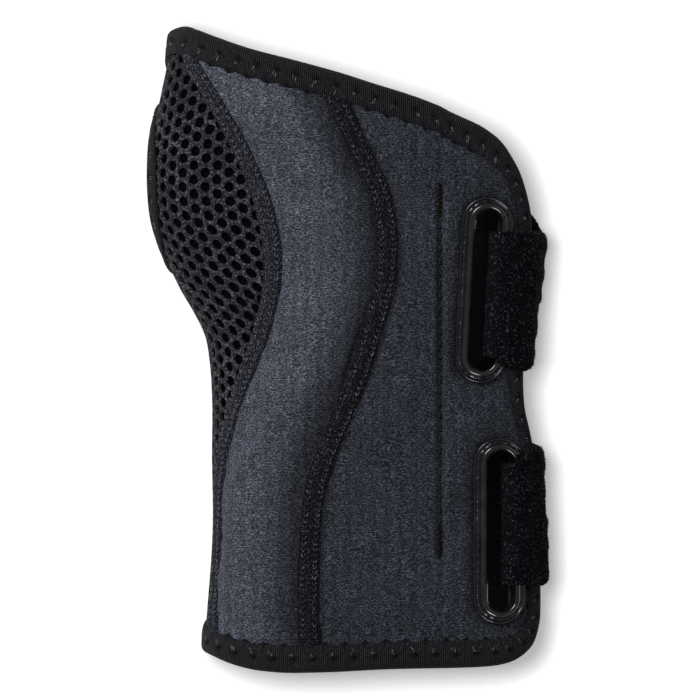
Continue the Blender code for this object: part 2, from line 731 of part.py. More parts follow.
# Straps: a loop sewn round the flap's margin through the slot, and a tail that goes on under the palm
def ribbon(name, sections, colour, roughness, under):
    # Sections along Y, each a path of points in its XZ plane, thickened on both sides
    def sides(path):
        above = []
        under_side = []
        for k, point in enumerate(path):
            before = path[max(k - 1, 0)]
            after = path[min(k + 1, len(path) - 1)]
            first = (point - before).normalized() if k > 0 else (after - point).normalized()
            second = (after - point).normalized() if k < len(path) - 1 else first
            normal_a = Vector((-first.z, 0.0, first.x))
            normal_b = Vector((-second.z, 0.0, second.x))
            normal = (normal_a + normal_b).normalized()
            reach = STRAP_THICK / 2 / max(normal.dot(normal_a), 0.5)
            above.append(point + normal * reach)
            under_side.append(point - normal * reach)
        return above, under_side

    both = [sides(path) for path in sections]
    shell(name, [pair[0] for pair in both], [pair[1] for pair in both], colour, roughness, under=under)


def arc(centre, radius, first, last, count, y):
    return [Vector((centre[0] + radius * math.cos(math.radians(turn)), y,
                    centre[1] + radius * math.sin(math.radians(turn)))) for turn in spread(first, last, count)]


outer_leg = GAP + FRAME_RIM + GAP + STRAP_THICK / 2          # lift of the strap's centre over the frame
margin_leg = binding_top + GAP + STRAP_THICK / 2             # and over the bound edge
inner_leg = inside - BACKING_THICK - GAP - STRAP_THICK / 2   # and under the flap


slot_straight = (SLOT_LENGTH - SLOT_WIDTH) / 2


def loop_path(slot, lean, top_y, y):
    shift = lean * (y - top_y)
    # In the slot the strap is gathered between the round ends
    share = (top_y - y) / STRAP_WIDTH
    slot_y = mix(min(top_y, slot.y + slot_straight), max(top_y - STRAP_WIDTH, slot.y - slot_straight), share)
    right = slot.side(slot_y, SLOT_WIDTH / 2)
    riser = right - GAP - STRAP_THICK
    frame_right = slot.side(y, SLOT_WIDTH / 2 + FRAME_WALL)
    edge = bound_edge_x(y)
    end = Vector((strap_side + shift, y, hinge_z + GAP / 2))
    bend = STRAP_THICK
    low = front_under(riser + bend, slot_y, inner_leg)
    high = front_under(riser + bend, slot_y, outer_leg)
    sewn = right + STRAP_SEWN
    path = [front_under(sewn, slot_y, inner_leg), front_under(mix(sewn, riser + bend, 0.5), slot_y, inner_leg)]
    path += [low, Vector((riser + bend * 0.25, slot_y, low.z + bend * 0.35)),
             Vector((riser, slot_y, low.z + bend * 1.2))]
    path += [Vector((riser, slot_y, high.z - bend * 1.0)), Vector((riser + bend * 0.25, slot_y, high.z - bend * 0.15)),
             high]
    path += [front(frame_right - FRAME_WALL * 0.2, mix(slot_y, y, 0.7), outer_leg),
             front(mix(frame_right, edge, 0.45), y, mix(outer_leg, margin_leg, 0.75))]
    over_edge = front(edge, y, margin_leg)
    control = Vector((max(end.x, over_edge.x) + 0.2, y, mix(over_edge.z, end.z, 0.45)))
    for t in (0.0, 0.35, 0.7, 1.0):
        path.append(over_edge * (1 - t) ** 2 + control * 2 * t * (1 - t) + end * t ** 2)
    return path


def tail_path(lean, top_y, y):
    shift = lean * (y - top_y)
    floor = STRAP_THICK / 2
    side = strap_side + shift
    path = [Vector((side, y, hinge_z - GAP / 2))]
    path += arc((side - STRAP_BEND, floor + STRAP_BEND), STRAP_BEND, 0.0, -90.0, 7, y)
    path += [Vector((x + shift, y, floor)) for x in spread(strap_side - STRAP_BEND, STRAP_END, 4)[1:]]
    return path


LOOP_STATIONS = 4
for strap_name, slot, middle, lean in (("upper", upper_slot, UPPER_STRAP_Y, UPPER_STRAP_LEAN),
                                       ("lower", lower_slot, LOWER_STRAP_Y, LOWER_STRAP_LEAN)):
    top_y = middle + STRAP_WIDTH / 2
    low_y = middle - STRAP_WIDTH / 2
    ribbon(strap_name + "_strap_loop", [loop_path(slot, lean, top_y, y) for y in spread(top_y, low_y, LOOP_STATIONS)],
           BLACK_PILE, 0.95, "flap_pivot")
    ribbon(strap_name + "_strap_tail", [tail_path(lean, top_y, y) for y in (top_y, low_y)], BLACK_PILE, 0.95,
           strap_name + "_strap_pivot")
    hook_ends = (top_y - HOOK_INSET, low_y + HOOK_INSET)
    hook_floor = STRAP_THICK + GAP

    def hook_point(i, j, z):
        y = hook_ends[i]
        x = STRAP_END + HOOK_INSET + HOOK_LENGTH * j
        return Vector((x + lean * (y - top_y), y, z))

    shell(strap_name + "_hook_tab", grid(2, 2, lambda i, j: hook_point(i, j, hook_floor + HOOK_THICK)),
          grid(2, 2, lambda i, j: hook_point(i, j, hook_floor)), BLACK_GLOSS, 0.8,
          under=strap_name + "_strap_pivot")

# Sliding stay on the back of the hand, in a pocket open at both ends
pocket_front = inside
stay_front = pocket_front - POCKET_WALL - GAP
STAY_COLUMNS = 5
stay_xs = spread(STAY_X - STAY_WIDTH / 2, STAY_X + STAY_WIDTH / 2, STAY_COLUMNS)
stay_ys = spread(STAY_Y - STAY_LENGTH / 2, STAY_Y + STAY_LENGTH / 2, 2)
shell("dorsal_stay", grid(2, STAY_COLUMNS, lambda i, j: front(stay_xs[j], stay_ys[i], stay_front)),
      grid(2, STAY_COLUMNS, lambda i, j: front(stay_xs[j], stay_ys[i], stay_front - STAY_THICK)), ALLOY, 0.35,
      under="stay_slide", metallic=1.0)

pocket_ys = spread(stay_ys[0] - POCKET_OVERLAP, stay_ys[1] + POCKET_OVERLAP, 2)
pocket_back = stay_front - STAY_THICK - GAP


def pocket_point(i, j, face):
    wall = POCKET_WALL if face else 0.0
    half = STAY_WIDTH / 2 + GAP + wall
    xs = spread(STAY_X - half, STAY_X + half, STAY_COLUMNS)
    front_side = j < STAY_COLUMNS
    x = xs[j] if front_side else xs[2 * STAY_COLUMNS - 1 - j]
    lift = stay_front + GAP + wall if front_side else pocket_back - wall
    return front(x, pocket_ys[i], lift)


shell("dorsal_stay_pocket", grid(2, 2 * STAY_COLUMNS, lambda i, j: pocket_point(i, j, True)),
      grid(2, 2 * STAY_COLUMNS, lambda i, j: pocket_point(i, j, False)), LINER, 0.9, tube=True)


# Fixed palm stay on the inside of the palm panel, under its pad
def palm_plate(name, width, low, high, upper_lift, lower_lift, colour, roughness, metallic=0.0):
    rows = ROWS // 2

    def place(lift):
        def at(i, j):
            y = mix(low, high, i / rows)
            return skin(palm_angle(mix(-width / 2, width / 2, j / 4), y), y, lift)
        return at

    shell(name, grid(rows + 1, 5, place(upper_lift)), grid(rows + 1, 5, place(lower_lift)), colour, roughness,
          metallic=metallic)


palm_low = PALM_STAY_Y - PALM_STAY_LENGTH / 2
palm_high = PALM_STAY_Y + PALM_STAY_LENGTH / 2
pad_face = inside - STAY_THICK - GAP
palm_plate("palm_stay", PALM_STAY_WIDTH, palm_low, palm_high, inside, inside - STAY_THICK, ALLOY, 0.35, 1.0)
palm_plate("palm_pad", PALM_STAY_WIDTH + 2 * PAD_MARGIN, palm_low - PAD_MARGIN, palm_high + PAD_MARGIN, pad_face,
           pad_face - PAD_THICK, LINER, 0.9)
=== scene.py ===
import json
import math

import bpy
import numpy as np
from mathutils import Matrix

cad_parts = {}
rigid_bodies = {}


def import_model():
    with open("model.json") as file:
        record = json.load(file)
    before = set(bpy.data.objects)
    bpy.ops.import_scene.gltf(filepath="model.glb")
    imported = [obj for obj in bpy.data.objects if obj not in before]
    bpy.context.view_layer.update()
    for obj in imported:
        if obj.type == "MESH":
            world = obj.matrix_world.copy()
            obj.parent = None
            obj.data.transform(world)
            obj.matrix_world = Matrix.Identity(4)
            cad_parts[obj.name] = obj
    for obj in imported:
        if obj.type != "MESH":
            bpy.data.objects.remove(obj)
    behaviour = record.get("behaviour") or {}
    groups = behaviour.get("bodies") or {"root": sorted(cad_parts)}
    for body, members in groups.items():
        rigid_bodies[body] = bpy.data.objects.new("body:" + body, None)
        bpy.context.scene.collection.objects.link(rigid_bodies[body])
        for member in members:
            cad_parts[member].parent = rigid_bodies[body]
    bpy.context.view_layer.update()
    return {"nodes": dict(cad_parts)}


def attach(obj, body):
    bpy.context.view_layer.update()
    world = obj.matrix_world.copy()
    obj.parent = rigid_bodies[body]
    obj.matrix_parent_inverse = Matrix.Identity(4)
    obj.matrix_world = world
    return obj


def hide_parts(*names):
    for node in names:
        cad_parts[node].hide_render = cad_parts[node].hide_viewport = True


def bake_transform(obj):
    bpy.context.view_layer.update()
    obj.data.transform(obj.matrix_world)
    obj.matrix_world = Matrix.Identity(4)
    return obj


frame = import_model()
scene = bpy.context.scene
bpy.ops.object.select_all(action="DESELECT")


# Back cloth: dark heather knit on thin foam, cut in one with the closure flap. It is sewn to the padded
# panel along the dorsal seam, has two strap slots cut in it, and bends at its stitched fold line.
MM = 0.001
GAP = 0.3
HALF_WIDTH = 54.5              # from the centre line to the closure side
HALF_HEIGHT = 21.0             # from the section's middle to the back of the hand
MIDDLE_Z = 24.2
CLOSURE_SQUARENESS = 3.0       # superellipse exponents of the sleeve's quarters
THUMB_SQUARENESS = 2.4
PALM_SQUARENESS = 4.0
PALM_EDGE_SQUARENESS = 2.9
PALM_DROP = 9.0
PALM_RISE = 4.0
EDGE_Y = 85.0
CLOTH_THICK = 3.0
CLOTH_EDGE = 1.3               # the cloth ends this far inside a bound edge
FOLD_LINE = 25.6
SLOT_WIDTH = 7.8
SLOT_LENGTH = 45.4
SLOT_EXTRA = 0.5
UPPER_SLOT = (37.5, 16.4, 0.052)           # X, Y and lean of the slots' middles
LOWER_SLOT = (41.7, -50.6, 0.0)
# (Y, half width) of the thumb side, (X, Y) of the bound ends, and (Y, X) of the dorsal seam
THUMB_SIDE = ((-90.0, 40.0), (-80.0, 39.8), (-70.0, 39.1), (-60.0, 38.3), (-50.0, 37.8), (-30.0, 38.0),
              (-13.0, 38.0), (-3.0, 38.7), (4.0, 40.0), (10.0, 42.9), (17.0, 47.0), (24.0, 50.2),
              (30.0, 52.5), (37.0, 54.7), (45.0, 55.7), (54.0, 55.3), (60.5, 54.4), (67.0, 53.1),
              (74.0, 51.7), (80.0, 50.4), (90.0, 49.2))
FINGER_EDGE = ((-53.0, 86.9), (-50.3, 89.1), (-47.4, 90.0), (-43.6, 89.0), (-38.7, 87.3), (-27.9, 83.7),
               (-14.8, 80.3), (-2.8, 77.0), (7.5, 73.7), (18.1, 70.4), (26.7, 67.1), (34.0, 63.8))
FOREARM_EDGE = ((-41.0, -84.6), (-38.0, -85.8), (-35.4, -86.9), (-28.0, -89.0), (-20.3, -89.9),
                (-8.1, -89.9), (11.4, -89.0), (36.2, -88.6))
DORSAL_SEAM = ((-90.0, -10.8), (-79.7, -10.8), (-64.4, -10.9), (-51.3, -10.3), (-37.1, -8.5), (-22.8, -3.2),
               (-8.6, 2.6), (5.3, 7.0), (16.4, 10.0), (30.4, 11.0), (43.2, 8.8), (56.0, 2.9), (68.8, -3.1),
               (90.0, -13.0))
# The flap's rim from the fingers to the forearm: inset from the closure side, Y, and the binding's reach
# inwards in X and in Y
FLAP_RIM = ((25.8, 65.9, 1.2, 7.8), (22.4, 64.4, 2.2, 7.5), (16.7, 61.7, 3.2, 7.3), (11.6, 57.8, 4.2, 6.5),
            (8.8, 53.8, 4.3, 5.4), (6.8, 50.0, 4.2, 3.4), (4.8, 43.7, 4.0, 0.8), (3.5, 37.1, 4.0, 0.0),
            (3.9, 26.0, 4.0, 0.0), (4.5, 14.0, 4.0, 0.0), (5.1, 2.0, 3.9, 0.0), (5.7, -9.0, 3.7, 0.0),
            (5.3, -16.4, 3.5, 0.0), (4.0, -23.1, 2.6, 0.0), (2.9, -30.0, 2.0, 0.0), (2.3, -38.0, 2.4, 0.0),
            (2.0, -46.0, 2.8, 0.0), (1.6, -54.0, 3.2, 0.0), (1.2, -62.0, 3.6, 0.0), (1.0, -70.0, 3.8, 0.0),
            (1.3, -76.6, 3.9, -1.6), (3.4, -83.2, 4.0, -4.5), (7.5, -86.6, 3.0, -6.6),
            (12.0, -87.9, 1.2, -7.6), (17.0, -88.4, 0.0, -8.0), (22.6, -88.6, 0.0, -8.0))
RIM_CORNERS = (4, 22)          # the rim's points at the flap's two corners
SEWN_LOW = -58.0               # the fold is stitched between these
SEWN_HIGH = 46.0


def curve(points):
    # Smooth line through the points, level beyond its ends
    at, value = np.array(points).T
    slope = np.gradient(value, at)

    def read(place):
        place = np.clip(place, at[0], at[-1])
        k = np.clip(np.searchsorted(at, place, side="right") - 1, 0, len(at) - 2)
        span = at[k + 1] - at[k]
        t = (place - at[k]) / span
        ease = t * t * (3.0 - 2.0 * t)
        leave = t * (1.0 - t) ** 2 * span * slope[k]
        arrive = t * t * (t - 1.0) * span * slope[k + 1]
        return value[k] + (value[k + 1] - value[k]) * ease + leave + arrive

    return read


thumb_side = curve(THUMB_SIDE)
finger_edge = curve(FINGER_EDGE)
forearm_edge = curve(FOREARM_EDGE)
dorsal_seam = curve(DORSAL_SEAM)


def mix(a, b, share):
    return a + (b - a) * share


def ease_between(low, high, value):
    share = np.clip((value - low) / (high - low), 0.0, 1.0)
    return share * share * (3.0 - 2.0 * share)


def half_width(x, y):
    return np.where(x >= 0, HALF_WIDTH, thumb_side(y))


def section(angle):
    # Point of the sleeve's section, of half sizes 1, in the direction of the angle in degrees
    c = np.cos(np.radians(angle))
    s = np.sin(np.radians(angle))
    palm = np.where(c >= 0, PALM_EDGE_SQUARENESS, PALM_SQUARENESS)
    n = np.where(s < 0, palm, np.where(c >= 0, CLOSURE_SQUARENESS, THUMB_SQUARENESS))
    r = (np.abs(c) ** n + np.abs(s) ** n) ** (-1.0 / n)
    return r * c, r * s, n


def skin(angle, y, lift):
    # Places on the sleeve, raised by lift from the cloth's outer face
    u, w, n = section(angle)
    wide = half_width(u, y)
    across = np.sign(u) * np.abs(u) ** (n - 1.0) / wide
    upward = np.sign(w) * np.abs(w) ** (n - 1.0) / HALF_HEIGHT
    size = np.hypot(across, upward)
    x = wide * u + lift * across / size
    z = MIDDLE_Z + HALF_HEIGHT * w + lift * upward / size
    return np.stack(np.broadcast_arrays(x, y, z), axis=-1)


def front_angle(x, y):
    u = np.clip(x / half_width(x, y), -0.9995, 0.9995)
    n = np.where(x >= 0, CLOSURE_SQUARENESS, THUMB_SQUARENESS)
    return np.degrees(np.arctan2((1.0 - np.abs(u) ** n) ** (1.0 / n), u))


def front(x, y, lift):
    return skin(front_angle(x, y), y, lift)


def cut_sheet(name, columns, rows):
    # A flat unit sheet with its own UV map, which is then laid on the form
    bpy.ops.object.select_all(action="DESELECT")
    bpy.ops.mesh.primitive_grid_add(x_subdivisions=columns, y_subdivisions=rows, size=1.0,
                                    location=(0.5, 0.5, 0.0), calc_uvs=True)
    bpy.ops.object.transform_apply(location=True, rotation=True, scale=True)
    sheet = bpy.context.object
    sheet.name = name
    sheet.data.name = name
    return sheet


def points_of(piece):
    flat = np.empty(len(piece.data.vertices) * 3, np.float32)
    piece.data.vertices.foreach_get("co", flat)
    return flat.reshape(-1, 3).astype(float)


def put_points(piece, places):
    piece.data.vertices.foreach_set("co", places.astype(np.float32).ravel())
    piece.data.update()


def lay(piece, place):
    # Takes each point from its shares across and along the cut sheet to its place on the form
    shares = np.round(points_of(piece), 5)
    put_points(piece, place(shares[:, 0], shares[:, 1]) * MM)


def mark_painted_shade(piece, depth):
    # How much painted shade each point gets: darker paint where the cloth lies in a seam, a fold or a
    # stitched dimple, or turns away from the light
    layer = piece.data.attributes.new("painted_shade", "FLOAT", "POINT")
    layer.data.foreach_set("value", np.clip(depth, 0.0, 1.0).astype(np.float32))


def only(piece):
    bpy.ops.object.select_all(action="DESELECT")
    piece.select_set(True)
    bpy.context.view_layer.objects.active = piece


def clothe(piece, *finishes):
    for finish in finishes:
        piece.data.materials.append(finish)


def shape(piece, name, kind, **settings):
    # Puts a modifier on the active piece and applies it
    modifier = piece.modifiers.new(name, kind)
    for key, value in settings.items():
        setattr(modifier, key, value)
    bpy.ops.object.modifier_apply(modifier=name)


def thicken(piece, thickness, smooth=0, inner_slot=0, offset=-1.0):
    # Gives the laid sheet its thickness, inwards unless offset says otherwise, and rounds it
    only(piece)
    shape(piece, "wall", "SOLIDIFY", thickness=thickness * MM, offset=offset, material_offset=inner_slot)
    if smooth:
        shape(piece, "rounding", "SUBSURF", levels=smooth, render_levels=smooth)
    bpy.ops.object.shade_smooth()


def open_up(piece, in_hole):
    # Deletes the faces of the cut sheet whose middles, in shares of the sheet, lie in a hole
    flat = points_of(piece)
    bpy.ops.object.mode_set(mode="EDIT")
    bpy.ops.mesh.select_all(action="DESELECT")
    bpy.ops.object.mode_set(mode="OBJECT")
    for face in piece.data.polygons:
        middle = np.mean([flat[k] for k in face.vertices], axis=0)
        face.select = bool(in_hole(middle[0], middle[1]))
    bpy.ops.object.mode_set(mode="EDIT")
    bpy.ops.mesh.delete(type="FACE")
    bpy.ops.object.mode_set(mode="OBJECT")


def add(tree, kind, sockets=None, **settings):
    # A shader node: its settings, and its sockets set to values or joined to other nodes' outputs
    made = tree.nodes.new(kind)
    for key, value in settings.items():
        setattr(made, key, value)
    for key, value in (sockets or {}).items():
        if isinstance(value, bpy.types.NodeSocket):
            tree.links.new(value, made.inputs[key])
        else:
            made.inputs[key].default_value = value
    return made


def start_group(name, inputs, outputs):
    group = bpy.data.node_groups.new(name, "ShaderNodeTree")
    for kind, label, value in inputs:
        socket = group.interface.new_socket(name=label, in_out="INPUT", socket_type=kind)
        socket.default_value = value
    for kind, label in outputs:
        group.interface.new_socket(name=label, in_out="OUTPUT", socket_type=kind)
    return group, group.nodes.new("NodeGroupInput"), group.nodes.new("NodeGroupOutput")


def blend_colours(tree, share, first, second, kind="MIX"):
    sockets = {0: share, 6: first, 7: second}
    return add(tree, "ShaderNodeMix", sockets, data_type="RGBA", blend_type=kind).outputs[2]


def number(tree, kind, first, second=0.0, third=0.0):
    return add(tree, "ShaderNodeMath", {0: first, 1: second, 2: third}, operation=kind).outputs[0]


def between(tree, value, low, high, first=0.0, last=1.0):
    sockets = {"Value": value, "From Min": low, "From Max": high, "To Min": first, "To Max": last}
    return add(tree, "ShaderNodeMapRange", sockets).outputs["Result"]


def object_place(tree):
    return add(tree, "ShaderNodeTexCoord").outputs["Object"]


def noise(tree, place, scale, detail=2.0, roughness=0.5):
    sockets = {"Vector": place, "Scale": scale, "Detail": detail, "Roughness": roughness}
    return add(tree, "ShaderNodeTexNoise", sockets).outputs["Fac"]


def bands(tree, place, scale, direction, distortion, detail=1.0, detail_scale=3.0):
    sockets = {"Vector": place, "Scale": scale, "Distortion": distortion, "Detail": detail,
               "Detail Scale": detail_scale}
    made = add(tree, "ShaderNodeTexWave", sockets, wave_type="BANDS", bands_direction=direction)
    return made.outputs["Fac"]


def two_tone(tree, shader, share, dark, pale):
    colour = blend_colours(tree, share, (*dark, 1.0), (*pale, 1.0))
    tree.links.new(colour, shader.inputs["Base Color"])


def finish_of(name, roughness, sheen=0.0, specular=0.5):
    material = bpy.data.materials.new(name)
    material.use_nodes = True
    shader = material.node_tree.nodes["Principled BSDF"]
    shader.inputs["Roughness"].default_value = roughness
    shader.inputs["Sheen Weight"].default_value = sheen
    shader.inputs["Sheen Roughness"].default_value = 0.5
    shader.inputs["Specular IOR Level"].default_value = specular
    return material, material.node_tree, shader


def raise_from(tree, shader, height, distance, strength=1.0):
    bump = add(tree, "ShaderNodeBump", {"Height": height, "Distance": distance * MM, "Strength": strength})
    tree.links.new(bump.outputs["Normal"], shader.inputs["Normal"])


# The heather knit: dark and pale fibres spun together, knitted in upright wales
heather, heather_in, heather_out = start_group(
    "heather_knit",
    (("NodeSocketColor", "Yarn", (0.05, 0.05, 0.05, 1.0)), ("NodeSocketColor", "Fleck", (0.2, 0.2, 0.2, 1.0)),
     ("NodeSocketColor", "Shade", (0.01, 0.01, 0.01, 1.0)), ("NodeSocketFloat", "Flecks", 0.5)),
    (("NodeSocketColor", "Colour"), ("NodeSocketFloat", "Height")))
place = object_place(heather)
wide_place = add(heather, "ShaderNodeMapping", {"Vector": place, "Scale": (0.62, 1.3, 1.0)}).outputs["Vector"]
fibres = noise(heather, wide_place, 2500.0, 1.5)
clumps = noise(heather, place, 420.0, 3.0, 0.6)
clouds = noise(heather, place, 75.0)
wales = bands(heather, place, 85.0, "X", 2.2)
courses = bands(heather, place, 419.0, "Y", 1.8)
pale = between(heather, fibres, 0.53, 0.64)
pale_clumps = between(heather, clumps, 0.42, 0.62, 0.35, 1.0)
fleck_share = number(heather, "MULTIPLY", pale, pale_clumps)
fleck_share = number(heather, "MULTIPLY", fleck_share, heather_in.outputs["Flecks"])
dark_share = between(heather, fibres, 0.53, 0.43)
yarn = blend_colours(heather, dark_share, heather_in.outputs["Yarn"], heather_in.outputs["Shade"])
yarn = blend_colours(heather, fleck_share, yarn, heather_in.outputs["Fleck"])
cloud_tone = between(heather, clouds, 0.3, 0.7, 0.88, 1.1)
wale_tone = between(heather, wales, 0.0, 1.0, 0.89, 1.07)
# Painted shade: the colour is darkened by up to nine tenths where a piece has marked painted shade on its
# points
painted_shade = add(heather, "ShaderNodeAttribute", attribute_name="painted_shade").outputs["Fac"]
painted_shade_tone = number(heather, "MULTIPLY_ADD", painted_shade, -0.9, 1.0)
tone = number(heather, "MULTIPLY", number(heather, "MULTIPLY", cloud_tone, wale_tone), painted_shade_tone)
tone_colour = add(heather, "ShaderNodeCombineColor", {0: tone, 1: tone, 2: tone}).outputs["Color"]
heather.links.new(blend_colours(heather, 1.0, yarn, tone_colour, "MULTIPLY"), heather_out.inputs["Colour"])
knit_height = number(heather, "ADD", number(heather, "MULTIPLY", wales, 0.35),
                     number(heather, "MULTIPLY", courses, 0.25))
heather.links.new(number(heather, "MULTIPLY_ADD", fibres, 0.6, knit_height), heather_out.inputs["Height"])


def heather_finish(name, yarn, fleck, shade, flecks, bump):
    material, tree, shader = finish_of(name, 0.95, 0.03, 0.06)
    knit = add(tree, "ShaderNodeGroup", node_tree=heather)
    knit.inputs["Yarn"].default_value = (*yarn, 1.0)
    knit.inputs["Fleck"].default_value = (*fleck, 1.0)
    knit.inputs["Shade"].default_value = (*shade, 1.0)
    knit.inputs["Flecks"].default_value = flecks
    tree.links.new(knit.outputs["Colour"], shader.inputs["Base Color"])
    raise_from(tree, shader, knit.outputs["Height"], bump)
    return material


dark_knit = heather_finish("dark_heather_knit", (0.023, 0.026, 0.034), (0.085, 0.092, 0.112),
                           (0.0085, 0.0095, 0.013), 0.75, 0.22)

# Smooth brushed lining on the inside of the panels
lining, lining_tree, lining_shader = finish_of("brushed_lining", 0.95, 0.1, 0.08)
nap = noise(lining_tree, object_place(lining_tree), 1300.0, 4.0)
two_tone(lining_tree, lining_shader, between(lining_tree, nap, 0.3, 0.75), (0.008, 0.008, 0.010),
         (0.030, 0.030, 0.036))
raise_from(lining_tree, lining_shader, nap, 0.15)

rim_x = np.array([FOLD_LINE] + [HALF_WIDTH - point[0] for point in FLAP_RIM] + [FOLD_LINE])
rim_ends = (float(finger_edge(FOLD_LINE)), float(forearm_edge(FOLD_LINE)))
rim_y = np.array([rim_ends[0]] + [point[1] for point in FLAP_RIM] + [rim_ends[1]])
rim_reach = np.array([(0.0, 8.0)] + [point[2:] for point in FLAP_RIM] + [(0.0, -8.0)])
drawn_in = CLOTH_EDGE / np.hypot(rim_reach[:, 0], rim_reach[:, 1])
cloth_rim_x = rim_x - rim_reach[:, 0] * drawn_in
cloth_rim_y = rim_y - rim_reach[:, 1] * drawn_in
first_corner = RIM_CORNERS[0] + 1
last_corner = RIM_CORNERS[1] + 1
side_points = slice(first_corner, last_corner + 1)


def flap_side(y):
    return np.interp(-y, -cloth_rim_y[side_points], cloth_rim_x[side_points])


def flap_finger_end(x):
    return np.where(x < FOLD_LINE, finger_edge(x) - CLOTH_EDGE,
                    np.interp(x, cloth_rim_x[:first_corner + 1], cloth_rim_y[:first_corner + 1]))


def flap_forearm_end(x):
    return np.where(x < FOLD_LINE, forearm_edge(x) + CLOTH_EDGE,
                    np.interp(-x, -cloth_rim_x[last_corner:], cloth_rim_y[last_corner:]))


half_cut = SLOT_LENGTH / 2 + SLOT_EXTRA
half_cut_width = SLOT_WIDTH / 2 + SLOT_EXTRA
slots_low = LOWER_SLOT[1] - half_cut
bridge_low = LOWER_SLOT[1] + half_cut
bridge_high = UPPER_SLOT[1] - half_cut
slots_high = UPPER_SLOT[1] + half_cut
ALONG_MARKS = (0.0, 0.1, 0.38, 0.5, 0.8, 1.0)       # shares along the cloth at its ends and the slots' ends
ACROSS_MARKS = (0.0, 0.4, 0.62, 0.76, 1.0)          # and across it at the seam, the fold, the slots, the rim


def slot_middle(y):
    low = LOWER_SLOT[0] + LOWER_SLOT[2] * (np.clip(y, slots_low, bridge_low) - LOWER_SLOT[1])
    high = UPPER_SLOT[0] + UPPER_SLOT[2] * (np.clip(y, bridge_high, slots_high) - UPPER_SLOT[1])
    return mix(low, high, np.clip((y - bridge_low) / (bridge_high - bridge_low), 0.0, 1.0))


def back_cloth_line(across, y, wide_y):
    # X at a share across the cloth, with the marks read at Y and the flap's side at its own Y
    marks = (dorsal_seam(y) + GAP / 2, np.full_like(y, FOLD_LINE), slot_middle(y) - half_cut_width,
             slot_middle(y) + half_cut_width, flap_side(wide_y))
    x = np.zeros_like(y)
    for k in range(4):
        share = (across - ACROSS_MARKS[k]) / (ACROSS_MARKS[k + 1] - ACROSS_MARKS[k])
        here = (across >= ACROSS_MARKS[k]) & (share <= 1.0)
        x = np.where(here, mix(marks[k], marks[k + 1], share), x)
    return x


def back_cloth_spread(across, along):
    # X and Y on the back of the hand for shares of the cut cloth
    marks_y = (0.0, slots_low, bridge_low, bridge_high, slots_high, 0.0)
    inner_y = np.interp(along, ALONG_MARKS[1:5], marks_y[1:5])
    x = back_cloth_line(across, inner_y, inner_y)
    y = inner_y
    for start, mark, corner, end in ((slots_high, 0.8, first_corner, flap_finger_end),
                                     (slots_low, 0.1, last_corner, flap_forearm_end)):
        share = (along - mark) / 0.2 if start == slots_high else (mark - along) / 0.1
        beyond = share > 0
        share = np.clip(share, 0.0, 1.0)
        start_y = np.full_like(x, start)
        start_x = back_cloth_line(across, start_y, start_y)
        corner_x = cloth_rim_x[corner]
        corner_y = cloth_rim_y[corner]
        flap_share = (start_x - FOLD_LINE) / (flap_side(start_y) - FOLD_LINE)
        end_x = mix(FOLD_LINE, corner_x, flap_share)
        out_x = mix(start_x, end_x, share)
        out_y = mix(start_y, end(end_x), share)
        side_y = mix(start, corner_y, share)
        on_side = across > 0.999
        out_x = np.where(on_side, flap_side(side_y), out_x)
        out_y = np.where(on_side, side_y, out_y)
        # Between the seam and the fold the rows follow the seam
        inner_y = mix(start_y, end(np.full_like(x, 0.0)), share)
        for _ in range(8):
            inner_x = mix(dorsal_seam(inner_y) + GAP / 2, FOLD_LINE, across / ACROSS_MARKS[1])
            inner_y = mix(start_y, end(inner_x), share)
        before_fold = across < ACROSS_MARKS[1]
        out_x = np.where(before_fold, inner_x, out_x)
        out_y = np.where(before_fold, inner_y, out_y)
        x = np.where(beyond, out_x, x)
        y = np.where(beyond, out_y, y)
    return x, y


def slot_distance(x, y, slot):
    # Distance from the slot's stadium outline, negative inside it
    middle_x, middle_y, lean = slot
    down = y - middle_y
    side = x - middle_x - lean * down
    straight = (SLOT_LENGTH - SLOT_WIDTH) / 2
    return np.hypot(side, np.maximum(np.abs(down) - straight, 0.0)) - SLOT_WIDTH / 2


def nearest_slot(x, y):
    return np.minimum(slot_distance(x, y, UPPER_SLOT), slot_distance(x, y, LOWER_SLOT))


def where_sewn(y, sewn, free):
    return np.where((y > SEWN_LOW) & (y < SEWN_HIGH), sewn, free)


def back_cloth_place(across, along):
    x, y = back_cloth_spread(across, along)
    near_frame = nearest_slot(x, y)
    in_seam = np.exp(-((x - dorsal_seam(y)) / 3.4) ** 2)
    in_fold = np.exp(-((x - FOLD_LINE) / 0.95) ** 2) * where_sewn(y, 1.0, 0.25)
    by_frame = np.exp(-np.maximum(near_frame - 3.0, 0.0) / 1.6)
    ends = ease_between(0.05, 0.09, np.minimum(along, 1.0 - along)) * ease_between(0.08, 0.16, 1.0 - across)
    swell = 0.75 * ends * (1.0 - in_seam) * (1.0 - by_frame)
    ripple = 0.16 * np.sin(y * 0.21 + x * 0.13) * np.sin(x * 0.19 - y * 0.043 + 1.3) * ends
    lift = swell + ripple - 1.25 * in_fold
    return front(x, y, np.where(near_frame < 3.2, np.minimum(lift, 0.1), lift))


def in_slots(across, along):
    in_lower = ALONG_MARKS[1] < along < ALONG_MARKS[2]
    in_upper = ALONG_MARKS[3] < along < ALONG_MARKS[4]
    return ACROSS_MARKS[2] < across < ACROSS_MARKS[3] and (in_lower or in_upper)


